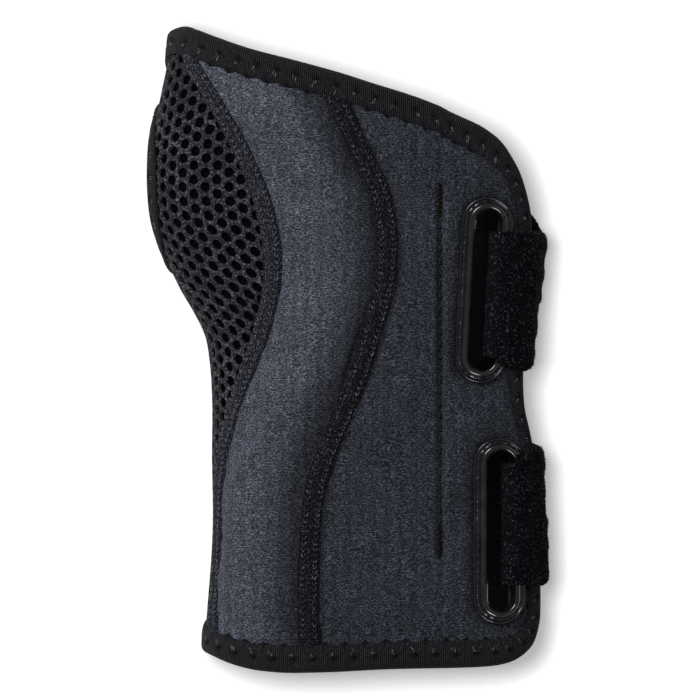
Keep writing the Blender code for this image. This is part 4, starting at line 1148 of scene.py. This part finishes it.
def flap_binding_edge(t, share, lift):
    x = flap_edge_x(t) - flap_reach_x(t) * share
    y = flap_edge_y(t) - flap_reach_y(t) * share
    return front(x, y, lift)


for piece in bind("finger_edge_tape", finger_binding_edge, "finger_binding", sign=1.0):
    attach(piece, "sleeve")
for piece in bind("forearm_edge_tape", forearm_binding_edge, "forearm_binding", sign=-1.0):
    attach(piece, "sleeve")
for piece in bind("palm_edge_tape", palm_binding_edge, "palm_binding", sign=-1.0):
    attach(piece, "sleeve")
for piece in bind("thumb_edge_tape", thumb_binding_edge, "thumb_binding", closed=True, sign=1.0):
    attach(piece, "sleeve")
for piece in bind("flap_edge_tape", flap_binding_edge, "flap_binding", sign=-1.0):
    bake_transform(piece)


# Fold stitching: a row of black lockstitches sunk in the cloth where the flap folds, with a bartack of
# close cross stitches at each end.
FOLD_TOP = 45.4
FOLD_BOTTOM = SEWN_LOW
FOLD_STITCH = 3.3
BARTACK = 8.2
TACK_X = FOLD_LINE - 0.8
row_y = np.arange(FOLD_BOTTOM, FOLD_TOP, FOLD_STITCH)
line_x = np.full_like(row_y, FOLD_LINE)
TACK_PITCH = 0.62
tack_y = np.concatenate([np.arange(FOLD_TOP - BARTACK, FOLD_TOP, TACK_PITCH),
                         np.arange(FOLD_BOTTOM, FOLD_BOTTOM + BARTACK, TACK_PITCH)])
tack_side = np.where(np.arange(len(tack_y)) % 2 == 0, 1.1, -1.1)
tack_x = TACK_X + tack_side
fold_first = np.concatenate([front(line_x, row_y + FOLD_STITCH * 0.38, -0.35), front(tack_x, tack_y, 0.35)])
fold_last = np.concatenate([front(line_x, row_y - FOLD_STITCH * 0.38, -0.35),
                            front(2.0 * TACK_X - tack_x, tack_y + 0.5, 0.35)])
fold_up = np.concatenate([normal_at(front_angle(line_x, row_y), row_y),
                          normal_at(front_angle(tack_x, tack_y), tack_y)])
fold_stitches = sew("fold_stitches", fold_first, fold_last, fold_up, 0.72, 0.2, tack_thread)
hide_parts("fold_stitching")
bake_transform(fold_stitches)


# Slot frames: glossy black moulded rings sewn round the slots. Each has a raised inner rim whose wall
# leans into the slot, a sunk stitch groove, and a small bead at its outer edge.
# Reach outwards from the slot and lift, round the ring's section
FRAME_SECTION = ((-1.0, -0.5), (-0.95, 0.6), (-0.6, 1.5), (-0.1, 2.15), (0.45, 2.42), (0.95, 2.36),
                 (1.3, 2.0), (1.5, 1.35), (1.75, 0.98), (2.2, 0.92), (2.45, 1.05), (2.62, 1.32),
                 (2.85, 1.36), (3.06, 1.1),
                 (3.1, 0.45), (2.6, 0.15), (0.6, 0.1), (-0.3, -0.6))
FRAME_TURNS = 40
FRAME_STITCH = 2.15
GROOVE = 2.02                  # reach of the stitch groove's middle

gloss, gloss_tree, gloss_shader = finish_of("moulded_gloss", 0.24, 0.0, 0.5)
gloss_place = object_place(gloss_tree)
flow = noise(gloss_tree, gloss_place, 260.0, 3.0)
scuffs = noise(gloss_tree, gloss_place, 1500.0, 4.0, 0.7)
two_tone(gloss_tree, gloss_shader, between(gloss_tree, flow, 0.35, 0.7), (0.0048, 0.0046, 0.0056),
         (0.0095, 0.0092, 0.011))
scuffed = between(gloss_tree, scuffs, 0.35, 0.75, 0.12, 0.26)
gloss_tree.links.new(scuffed, gloss_shader.inputs["Roughness"])
raise_from(gloss_tree, gloss_shader, flow, 0.08)


def stadium(slot, reach, turn):
    # Point at a reach outside the slot's edge; turn goes once round from the closure side
    middle_x, middle_y, lean = slot
    size = SLOT_WIDTH / 2 + reach
    straight = (SLOT_LENGTH - SLOT_WIDTH) / 2
    x = size * np.cos(turn)
    y = size * np.sin(turn) + np.where(turn < math.pi + 1e-9, straight, -straight)
    return middle_x + x + lean * y, middle_y + y - lean * x


def slot_frame(name, slot, node):
    bpy.ops.object.select_all(action="DESELECT")
    points = len(FRAME_SECTION)
    bpy.ops.mesh.primitive_torus_add(major_segments=2 * FRAME_TURNS, minor_segments=points,
                                     major_radius=10.0, minor_radius=2.0)
    ring = bpy.context.object
    ring.name = name
    ring.data.name = name
    half_turn = np.linspace(0.0, math.pi, FRAME_TURNS)
    turn = np.concatenate([half_turn, half_turn + math.pi + 1e-6])[:, None]
    reach, lift = np.array(FRAME_SECTION).T[:, None, :]
    # The wall leans into the slot only where the strap doesn't rise
    free = ease_between(0.35, -0.35, np.cos(turn))
    x, y = stadium(slot, np.where(reach < 0, reach * free, reach), turn)
    put_points(ring, front(x, y, np.broadcast_to(lift, x.shape)).reshape(-1, 3) * MM)
    ring.data.materials.append(gloss)
    bpy.ops.object.mode_set(mode="EDIT")
    bpy.ops.mesh.select_all(action="SELECT")
    bpy.ops.mesh.normals_make_consistent(inside=False)
    bpy.ops.object.mode_set(mode="OBJECT")
    rounding = ring.modifiers.new("rounding", "SUBSURF")
    rounding.levels = 1
    rounding.render_levels = 1
    bpy.ops.object.modifier_apply(modifier="rounding")
    bpy.ops.object.shade_smooth()
    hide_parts(node)
    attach(ring, "flap")
    # Stitches in the groove
    fine = np.linspace(0.0, 2.0 * math.pi - 1e-6, 900)
    line_x, line_y = stadium(slot, GROOVE, fine)
    steps, length = even_steps(np.stack([line_x, line_y], axis=1), FRAME_STITCH)
    heads = np.arange(len(steps) - 1) / (len(steps) - 1)
    tails = heads + 0.66 / (len(steps) - 1)
    marks = np.linspace(0.0, 1.0, len(steps))
    ends = []
    for share in (heads, tails):
        at = np.interp(share, marks, steps)
        ends.append(np.stack([np.interp(at, np.linspace(0.0, 1.0, 900), line_x),
                              np.interp(at, np.linspace(0.0, 1.0, 900), line_y)], axis=1))
    first = front(ends[0][:, 0], ends[0][:, 1], 0.9)
    last = front(ends[1][:, 0], ends[1][:, 1], 0.9)
    up = normal_at(front_angle(ends[0][:, 0], ends[0][:, 1]), ends[0][:, 1])
    stitches = sew(name + "_stitches", first, last, up, 0.5, 0.14, bead_thread)
    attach(stitches, "flap")


slot_frame("upper_frame", UPPER_SLOT, "upper_slot_frame")
slot_frame("lower_frame", LOWER_SLOT, "lower_slot_frame")
for node in ("upper_slot_backing", "lower_slot_backing"):
    backing = frame["nodes"][node]
    backing.data.materials.clear()
    backing.data.materials.append(gloss)


# Straps: black hook-and-loop webbing with a brushed loop face. Each is sewn to itself round the flap's
# margin, comes up through its slot, and goes on down the side and under the palm.
STRAP_THICK = 1.5
STRAP_WIDTH = 38.4
# Y of the middle, lean, Y of the crease, how far the side is set back below it (or, negative, above it), and
# how far the finger corner rises as it turns under
UPPER_STRAP = (13.4, 0.10, 12.6, 0.4, 6.2)
LOWER_STRAP = (-46.4, 0.0, -46.8, -0.9, 1.4)
STRAP_CORNER = 2.0
STRAP_COLUMNS = 60
STRAP_SIDE = HALF_WIDTH + 0.45
HINGE_Z = MIDDLE_Z + 2.0
STRAP_BEND = 15.0
STRAP_END = -22.0
STRAP_SEWN = 5.0
FRAME_WALL = 3.1
OUTER_LEG_LIFT = 3.45
MARGIN_LIFT = 2.05
INNER_LEG_LIFT = -5.35

# Loop pile: near black, with pale specks on the loop tips that are painted glints
pile, pile_tree, pile_shader = finish_of("brushed_loop_pile", 1.0, 0.0, 0.03)
pile_place = add(pile_tree, "ShaderNodeTexCoord").outputs["Object"]
loops = add(pile_tree, "ShaderNodeTexNoise", {"Vector": pile_place, "Scale": 1500.0, "Detail": 2.0,
                                             "Roughness": 0.6})
brushed = add(pile_tree, "ShaderNodeTexNoise", {"Vector": pile_place, "Scale": 210.0, "Detail": 3.0})
painted_tip_glints = number(pile_tree, "MULTIPLY", between(pile_tree, loops.outputs["Fac"], 0.57, 0.69),
              between(pile_tree, brushed.outputs["Fac"], 0.35, 0.7, 0.3, 1.0))
pile_tree.links.new(blend_colours(pile_tree, painted_tip_glints, (0.0030, 0.0029, 0.0042, 1.0), (0.072, 0.070, 0.084, 1.0)),
                    pile_shader.inputs["Base Color"])
raise_from(pile_tree, pile_shader, loops.outputs["Fac"], 0.6)


pile_tufts = bpy.data.textures.new("pile_tufts", "CLOUDS")
pile_tufts.noise_scale = 0.9 * MM
pile_tufts.noise_depth = 2


def front_under(x, y, lift):
    # Place at a lift for the X that the raised point itself should have
    foot = np.array(x, float)
    for _ in range(6):
        foot = foot + x - front(foot, y, lift)[..., 0]
    return front(foot, y, lift)


def bound_edge(y):
    points = slice(first_corner, last_corner + 1)
    return np.interp(-y, -rim_y[points], rim_x[points])


def strap_path(slot, shape, y):
    # Places along the strap at one Y, from its sewn inner end to its free end under the palm
    middle, lean, crease, step, rise = shape
    top_y = middle + STRAP_WIDTH / 2
    shift = lean * (y - top_y)
    corner = max(0.0, 1.0 - min(top_y - y, y - top_y + STRAP_WIDTH) / STRAP_CORNER)
    below = float(ease_between(0.8, -0.8, y - crease))
    rounded = STRAP_CORNER * (1.0 - math.sqrt(1.0 - corner * corner))
    set_back = rounded + abs(step) * (below if step > 0 else 1.0 - below) + 0.22 * math.sin(0.83 * y)
    creased = math.exp(-((y - crease) / 0.9) ** 2)
    set_back += 0.5 * creased
    upper_part = float(ease_between(0.0, 12.0, y - top_y + 12.0))
    share = (top_y - y) / STRAP_WIDTH
    straight = (SLOT_LENGTH - SLOT_WIDTH) / 2
    slot_y = mix(min(top_y, slot[1] + straight), max(top_y - STRAP_WIDTH, slot[1] - straight), share)
    right = slot[0] + slot[2] * (slot_y - slot[1]) + SLOT_WIDTH / 2
    riser = right - GAP - STRAP_THICK
    bend = STRAP_THICK
    low = front_under(riser + bend, slot_y, INNER_LEG_LIFT)
    high = front_under(riser + bend, slot_y, OUTER_LEG_LIFT)
    sewn = right + STRAP_SEWN
    frame_right = slot[0] + slot[2] * (y - slot[1]) + SLOT_WIDTH / 2 + FRAME_WALL
    edge = float(bound_edge(y))
    end = np.array([STRAP_SIDE + shift - set_back, y, HINGE_Z])
    path = [front_under(sewn, slot_y, INNER_LEG_LIFT),
            front_under(mix(sewn, riser + bend, 0.5), slot_y, INNER_LEG_LIFT),
            low, np.array([riser + bend * 0.25, slot_y, low[2] + bend * 0.35]),
            np.array([riser, slot_y, low[2] + bend * 1.2]), np.array([riser, slot_y, high[2] - bend]),
            np.array([riser + bend * 0.25, slot_y, high[2] - bend * 0.15]), high,
            front(frame_right - FRAME_WALL * 0.2, mix(slot_y, y, 0.7), OUTER_LEG_LIFT - 0.4 * creased),
            front(mix(frame_right, edge, 0.45), y, mix(OUTER_LEG_LIFT, MARGIN_LIFT, 0.75) - 0.6 * creased)]
    over_edge = front(edge, y, MARGIN_LIFT) - np.array([rounded, 0.0, 0.0])
    control = np.array([max(end[0], over_edge[0]) + 0.2, y, mix(over_edge[2], end[2], 0.45)])
    for t in (0.0, 0.35, 0.7, 1.0):
        path.append(over_edge * (1 - t) ** 2 + control * 2 * t * (1 - t) + end * t ** 2)
    floor = STRAP_THICK / 2 + 0.25
    for turn in np.radians(np.linspace(0.0, -90.0, 10)):
        risen = rise * upper_part * min(1.0, (1.0 - math.cos(turn)) / 0.2)
        path.append(np.array([end[0] - STRAP_BEND + STRAP_BEND * math.cos(turn), y + risen,
                              floor + STRAP_BEND + STRAP_BEND * math.sin(turn)]))
    for share_under in np.linspace(0.0, 1.0, 8)[1:]:
        x = mix(end[0] - STRAP_BEND, STRAP_END + shift, share_under)
        path.append(np.array([x, y + rise * upper_part * (1.0 - share_under), floor]))
    path = np.array(path)
    steps = np.concatenate([[0.0], np.cumsum(np.linalg.norm(np.diff(path, axis=0), axis=1))])
    steps = steps / steps[-1]
    return [curve(np.stack([steps, path[:, k]], axis=1)) for k in range(3)], path


def strap(name, slot, shape):
    middle = shape[0]
    stations = np.linspace(middle - STRAP_WIDTH / 2, middle + STRAP_WIDTH / 2, STRAP_COLUMNS + 1)
    lines = [strap_path(slot, shape, y)[0] for y in stations]
    length = float(np.sum(np.linalg.norm(np.diff(strap_path(slot, shape, middle)[1], axis=0), axis=1)))

    def place(across, along):
        column = np.round(across * STRAP_COLUMNS).astype(int)
        places = np.zeros((len(across), 3))
        for k, line in enumerate(lines):
            here = column == k
            places[here] = np.stack([axis(along[here]) for axis in line], axis=1)
        return places

    webbing = cut_sheet(name, STRAP_COLUMNS, 170)
    lay(webbing, place)
    scale_uv(webbing, STRAP_WIDTH, length)
    webbing.data.materials.append(pile)
    only(webbing)
    wall = webbing.modifiers.new("wall", "SOLIDIFY")
    wall.thickness = STRAP_THICK * MM
    wall.offset = 0.0
    bpy.ops.object.modifier_apply(modifier="wall")
    rounding = webbing.modifiers.new("rounding", "SUBSURF")
    rounding.levels = 1
    rounding.render_levels = 1
    bpy.ops.object.modifier_apply(modifier="rounding")
    tufts = webbing.modifiers.new("tufts", "DISPLACE")
    tufts.texture = pile_tufts
    tufts.strength = 0.55 * MM
    tufts.mid_level = 0.5
    bpy.ops.object.modifier_apply(modifier="tufts")
    bpy.ops.object.shade_smooth()
    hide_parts(name + "_loop", name + "_tail")
    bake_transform(webbing)
    # Loop fibres brushed up from the outer face
    rng = np.random.default_rng(100 + int(middle))
    count = 7000
    along = rng.uniform(0.06, 0.985, count) ** 1.3
    across = rng.uniform(0.01, 0.99, count)
    column = np.clip(np.round(across * STRAP_COLUMNS).astype(int), 0, STRAP_COLUMNS)
    base = np.zeros((count, 3))
    ahead = np.zeros((count, 3))
    for k, line in enumerate(lines):
        here = column == k
        base[here] = np.stack([axis(along[here]) for axis in line], axis=1)
        ahead[here] = np.stack([axis(along[here] + 0.002) for axis in line], axis=1)
    base[:, 1] += rng.uniform(-0.6, 0.6, count)
    direction = ahead - base
    outward = np.stack([-direction[:, 2], 0.0 * direction[:, 0], direction[:, 0]], axis=1)
    outward = outward / np.maximum(np.linalg.norm(outward, axis=1, keepdims=True), 1e-9)
    lean_way = rng.normal(size=(count, 3))
    lean_way -= outward * np.sum(lean_way * outward, axis=1, keepdims=True)
    lean_way = lean_way / np.linalg.norm(lean_way, axis=1, keepdims=True)
    reach = rng.uniform(0.25, 0.8, (count, 1))
    first = base + outward * (STRAP_THICK / 2 - 0.05)
    last = first + lean_way * reach + outward * rng.uniform(-0.05, 0.3, (count, 1))
    above_floor = base[:, 2] > 4.0
    fibres = sew_fibres(name + "_fibres", first[above_floor], last[above_floor], outward[above_floor], 0.09)
    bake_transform(fibres)


def sew_fibres(name, first, last, outward, thickness):
    # Short loose fibres: three-sided tubes of two lengths, bowed off the cloth
    along = last - first
    length = np.linalg.norm(along, axis=1, keepdims=True)
    along = along / length
    side = np.cross(outward, along)
    side = side / np.maximum(np.linalg.norm(side, axis=1, keepdims=True), 1e-9)
    above = np.cross(along, side)
    rings = []
    for share, bow, size in ((0.0, 0.0, 1.0), (0.5, 0.22, 1.0), (1.0, 0.0, 0.6)):
        middle = first + along * length * share + outward * bow
        for turn in (0.0, 2.0 * math.pi / 3, 4.0 * math.pi / 3):
            rings.append(middle + (side * math.cos(turn) + above * math.sin(turn)) * thickness / 2 * size)
    places = np.stack(rings, axis=1).reshape(-1, 3)
    faces = []
    for k in range(len(first)):
        start = 9 * k
        for ring in (0, 3):
            for turn in range(3):
                here = start + ring + turn
                beside = start + ring + (turn + 1) % 3
                faces.append((here, beside, beside + 3, here + 3))
        faces.append((start + 2, start + 1, start))
        faces.append((start + 6, start + 7, start + 8))
    mesh = bpy.data.meshes.new(name)
    mesh.from_pydata((places * MM).tolist(), [], faces)
    fibres = bpy.data.objects.new(name, mesh)
    bpy.context.collection.objects.link(fibres)
    mesh.materials.append(fibre_finish)
    only(fibres)
    bpy.ops.object.shade_smooth()
    return fibres


# Loose fibres: near black, with pale stretches that are painted glints
fibre_finish, fibre_tree, fibre_shader = finish_of("loose_fibre", 0.7, 0.0, 0.06)
fibre_place = add(fibre_tree, "ShaderNodeTexCoord").outputs["Object"]
fibre_painted_glints = add(fibre_tree, "ShaderNodeTexNoise", {"Vector": fibre_place, "Scale": 900.0, "Detail": 2.0})
fibre_tree.links.new(blend_colours(fibre_tree, between(fibre_tree, fibre_painted_glints.outputs["Fac"], 0.54, 0.70),
                                   (0.0025, 0.0025, 0.0035, 1.0), (0.075, 0.075, 0.088, 1.0)),
                     fibre_shader.inputs["Base Color"])
strap("upper_strap", UPPER_SLOT, UPPER_STRAP)
strap("lower_strap", LOWER_SLOT, LOWER_STRAP)


# Hook tabs: stiff moulded hook tape on the free end of each strap. Rows of small bent hooks stand on a
# thin base and grip the loop face.
HOOK_LENGTH = 24.0
HOOK_INSET = 1.0
HOOK_FLOOR = 1.8
HOOK_PITCH = 1.5
hook_finish, hook_tree, hook_shader = finish_of("hook_tape", 0.55, 0.0, 0.35)
hook_place = add(hook_tree, "ShaderNodeTexCoord").outputs["Object"]
hook_noise = add(hook_tree, "ShaderNodeTexNoise", {"Vector": hook_place, "Scale": 900.0, "Detail": 3.0})
hook_tree.links.new(blend_colours(hook_tree, between(hook_tree, hook_noise.outputs["Fac"], 0.35, 0.7),
                                  (0.006, 0.006, 0.008, 1.0), (0.016, 0.016, 0.019, 1.0)),
                    hook_shader.inputs["Base Color"])
raise_from(hook_tree, hook_shader, hook_noise.outputs["Fac"], 0.1)


def hook_tab(name, node, middle, lean, body):
    top_y = middle + STRAP_WIDTH / 2
    low_y = middle - STRAP_WIDTH / 2

    def place(across, along):
        y = mix(low_y + HOOK_INSET, top_y - HOOK_INSET, along)
        x = STRAP_END + HOOK_INSET + HOOK_LENGTH * across + lean * (y - top_y)
        return np.stack([x, y, np.full_like(x, HOOK_FLOOR + 0.5)], axis=1)

    base = cut_sheet(name, 24, 36)
    lay(base, place)
    base.data.materials.append(hook_finish)
    thicken(base, 0.5, 1)
    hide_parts(node)
    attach(base, body)
    across, along = np.meshgrid(np.arange(0.04, 0.97, HOOK_PITCH / HOOK_LENGTH),
                                np.arange(0.03, 0.98, HOOK_PITCH / 36.0))
    foot = place(across.ravel(), along.ravel())
    row = np.arange(len(foot)) % 2
    up = np.tile([0.0, 0.0, 1.0], (len(foot), 1))
    lean_x = np.where(row == 0, 0.45, -0.45)
    bent = foot + np.stack([lean_x, 0.0 * foot[:, 0], np.full(len(foot), 0.52)], axis=1)
    hooks = sew(name + "_bent", foot, bent, up + np.array([0.0, 0.01, 0.0]), 0.26, 0.08, hook_finish)
    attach(hooks, body)


hook_tab("upper_hooks", "upper_hook_tab", UPPER_STRAP[0], UPPER_STRAP[1], "upper_strap")
hook_tab("lower_hooks", "lower_hook_tab", LOWER_STRAP[0], LOWER_STRAP[1], "lower_strap")


# Stays: two flat bars of brushed light alloy. The one on the back slides out of its pocket, and the one in
# the palm is held under its pad.
alloy, alloy_tree, alloy_shader = finish_of("brushed_alloy", 0.5)
alloy_shader.inputs["Metallic"].default_value = 1.0
alloy_place = object_place(alloy_tree)
brush_place = add(alloy_tree, "ShaderNodeMapping", {"Vector": alloy_place, "Scale": (1.0, 0.02, 1.0)})
brush_lines = brush_place.outputs["Vector"]
brush = add(alloy_tree, "ShaderNodeTexNoise", {"Vector": brush_lines, "Scale": 2600.0, "Detail": 3.0})
alloy_tree.links.new(blend_colours(alloy_tree, between(alloy_tree, brush.outputs["Fac"], 0.3, 0.7),
                                   (0.50, 0.51, 0.53, 1.0), (0.66, 0.67, 0.69, 1.0)),
                     alloy_shader.inputs["Base Color"])
brush_gloss = between(alloy_tree, brush.outputs["Fac"], 0.3, 0.7, 0.28, 0.46)
alloy_tree.links.new(brush_gloss, alloy_shader.inputs["Roughness"])
raise_from(alloy_tree, alloy_shader, brush.outputs["Fac"], 0.02)
for node in ("dorsal_stay", "palm_stay"):
    bar = frame["nodes"][node]
    bar.data.materials.clear()
    bar.data.materials.append(alloy)


# Stay pocket: a strip of lining cloth sewn along both its sides to the inside of the back cloth, open at
# its two ends.
POCKET_X = 13.0
POCKET_HALF = 11.9
POCKET_LOW = -78.0
POCKET_HIGH = 47.0


def pocket_place(across, along):
    side = np.abs(2.0 * across - 1.0)
    x = POCKET_X + POCKET_HALF * (1.0 - 2.0 * across)
    y = mix(POCKET_LOW, POCKET_HIGH, along)
    drop = 1.0 - ease_between(0.86, 0.96, side)
    return front(x, y, -3.5 - 2.9 * drop)


pocket = cut_sheet("stay_pocket", 40, 60)
lay(pocket, pocket_place)
pocket.data.materials.append(lining)
only(pocket)
pocket_wall = pocket.modifiers.new("wall", "SOLIDIFY")
pocket_wall.thickness = 0.7 * MM
pocket_wall.offset = 1.0
bpy.ops.object.modifier_apply(modifier="wall")
bpy.ops.object.shade_smooth()
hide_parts("dorsal_stay_pocket")
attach(pocket, "sleeve")
pocket_y = np.arange(POCKET_LOW + 1.5, POCKET_HIGH - 1.0, 2.4)
pocket_first = []
pocket_last = []
pocket_up = []
for side in (-1.0, 1.0):
    line_x = np.full_like(pocket_y, POCKET_X + side * (POCKET_HALF - 0.3))
    pocket_first.append(front(line_x, pocket_y, -4.25))
    pocket_last.append(front(line_x, pocket_y + 1.7, -4.25))
    pocket_up.append(-normal_at(front_angle(line_x, pocket_y), pocket_y))
pocket_stitches = sew("stay_pocket_stitches", np.concatenate(pocket_first), np.concatenate(pocket_last),
                      np.concatenate(pocket_up), 0.45, 0.1, thread)
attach(pocket_stitches, "sleeve")


# Palm pad: soft foam in lining cloth over the palm stay, crowned towards the hand and sewn flat round its
# edge.
PAD_WIDTH = 40.0
PAD_LOW = -76.0
PAD_HIGH = 31.0


def pad_place(across, along):
    x = mix(-PAD_WIDTH / 2, PAD_WIDTH / 2, across)
    y = mix(PAD_LOW, PAD_HIGH, along)
    side = 1.0 - np.abs(2.0 * across - 1.0) ** 5
    end = 1.0 - np.abs(2.0 * along - 1.0) ** 14
    return skin(palm_angle(x, y), y, -5.7 - 2.3 * side * end)


palm_pad = cut_sheet("palm_cushion", 40, 90)
lay(palm_pad, pad_place)
palm_pad.data.materials.append(lining)
only(palm_pad)
pad_wall = palm_pad.modifiers.new("wall", "SOLIDIFY")
pad_wall.thickness = 0.6 * MM
pad_wall.offset = -1.0
bpy.ops.object.modifier_apply(modifier="wall")
bpy.ops.object.shade_smooth()
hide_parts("palm_pad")
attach(palm_pad, "sleeve")


# Stage: pale floor, soft light from above on the thumb side, and a camera straight above the back of the
# hand
bpy.ops.object.select_all(action="DESELECT")
bpy.ops.mesh.primitive_plane_add(size=8.0, location=(0.0, 0.0, 0.0))
floor = bpy.context.object
floor.name = "floor"
floor_finish = bpy.data.materials.new("pale_floor")
floor_finish.use_nodes = True
floor_tree = floor_finish.node_tree
floor_tree.nodes.remove(floor_tree.nodes["Principled BSDF"])
rays = add(floor_tree, "ShaderNodeLightPath")
seen = number(floor_tree, "MAXIMUM", rays.outputs["Is Camera Ray"],
              number(floor_tree, "MAXIMUM", rays.outputs["Is Glossy Ray"],
                     rays.outputs["Is Transmission Ray"]))
paper = add(floor_tree, "ShaderNodeBsdfDiffuse", {"Color": (0.95, 0.95, 0.95, 1.0)})
glow = add(floor_tree, "ShaderNodeEmission", {"Color": (1.0, 1.0, 1.0, 1.0),
                                              "Strength": number(floor_tree, "MULTIPLY", seen, 0.30)})
both = add(floor_tree, "ShaderNodeAddShader", {0: paper.outputs[0], 1: glow.outputs[0]})
floor_tree.links.new(both.outputs[0], floor_tree.nodes["Material Output"].inputs["Surface"])
floor.data.materials.append(floor_finish)

world = bpy.data.worlds.new("studio")
scene.world = world
world.use_nodes = True
sky = world.node_tree
sky.nodes.clear()
sky_rays = add(sky, "ShaderNodeLightPath")
sky_seen = number(sky, "MAXIMUM", sky_rays.outputs["Is Camera Ray"], sky_rays.outputs["Is Transmission Ray"])
soft_light = add(sky, "ShaderNodeBackground", {"Color": (1.0, 1.0, 1.0, 1.0), "Strength": 0.24})
white_wall = add(sky, "ShaderNodeBackground", {"Color": (1.0, 1.0, 1.0, 1.0), "Strength": 1.0})
sky_mix = add(sky, "ShaderNodeMixShader", {0: sky_seen, 1: soft_light.outputs[0], 2: white_wall.outputs[0]})
add(sky, "ShaderNodeOutputWorld", {"Surface": sky_mix.outputs[0]})


def lamp(name, place, size, power, lit):
    # A round soft light that falls on the objects of one collection
    light = bpy.data.lights.new(name, "AREA")
    light.shape = "DISK"
    light.size = size
    light.energy = power
    holder = bpy.data.objects.new(name, light)
    bpy.context.collection.objects.link(holder)
    holder.location = place
    holder.rotation_mode = "QUATERNION"
    holder.rotation_quaternion = (-holder.location).to_track_quat("-Z", "Y")
    holder.light_linking.receiver_collection = lit


ground = bpy.data.collections.new("ground")
ground.objects.link(floor)
cloths = bpy.data.collections.new("cloths")
mouldings = bpy.data.collections.new("mouldings")
for piece in scene.objects:
    if piece.type == "MESH" and piece != floor:
        home = mouldings if gloss.name in piece.data.materials else cloths
        home.objects.link(piece)
lamp("floor_light", (-0.09, 0.04, 1.05), 0.24, 9.0, ground)
lamp("key_light", (-0.62, 0.42, 0.72), 0.42, 10.0, cloths)
lamp("top_light", (0.05, 0.10, 1.10), 0.60, 3.6, cloths)
lamp("finger_light", (-0.30, 0.80, 0.75), 0.60, 15.0, mouldings)
lamp("forearm_light", (0.05, -0.85, 0.70), 0.60, 12.0, mouldings)

camera_data = bpy.data.cameras.new("camera")
camera = bpy.data.objects.new("camera", camera_data)
bpy.context.collection.objects.link(camera)
camera_data.lens = 500.0
camera_data.sensor_width = 36.0
camera_data.clip_start = 0.05
camera.location = (0.00056, -0.00028, 2.744)
scene.camera = camera
scene.view_settings.view_transform = "Standard"
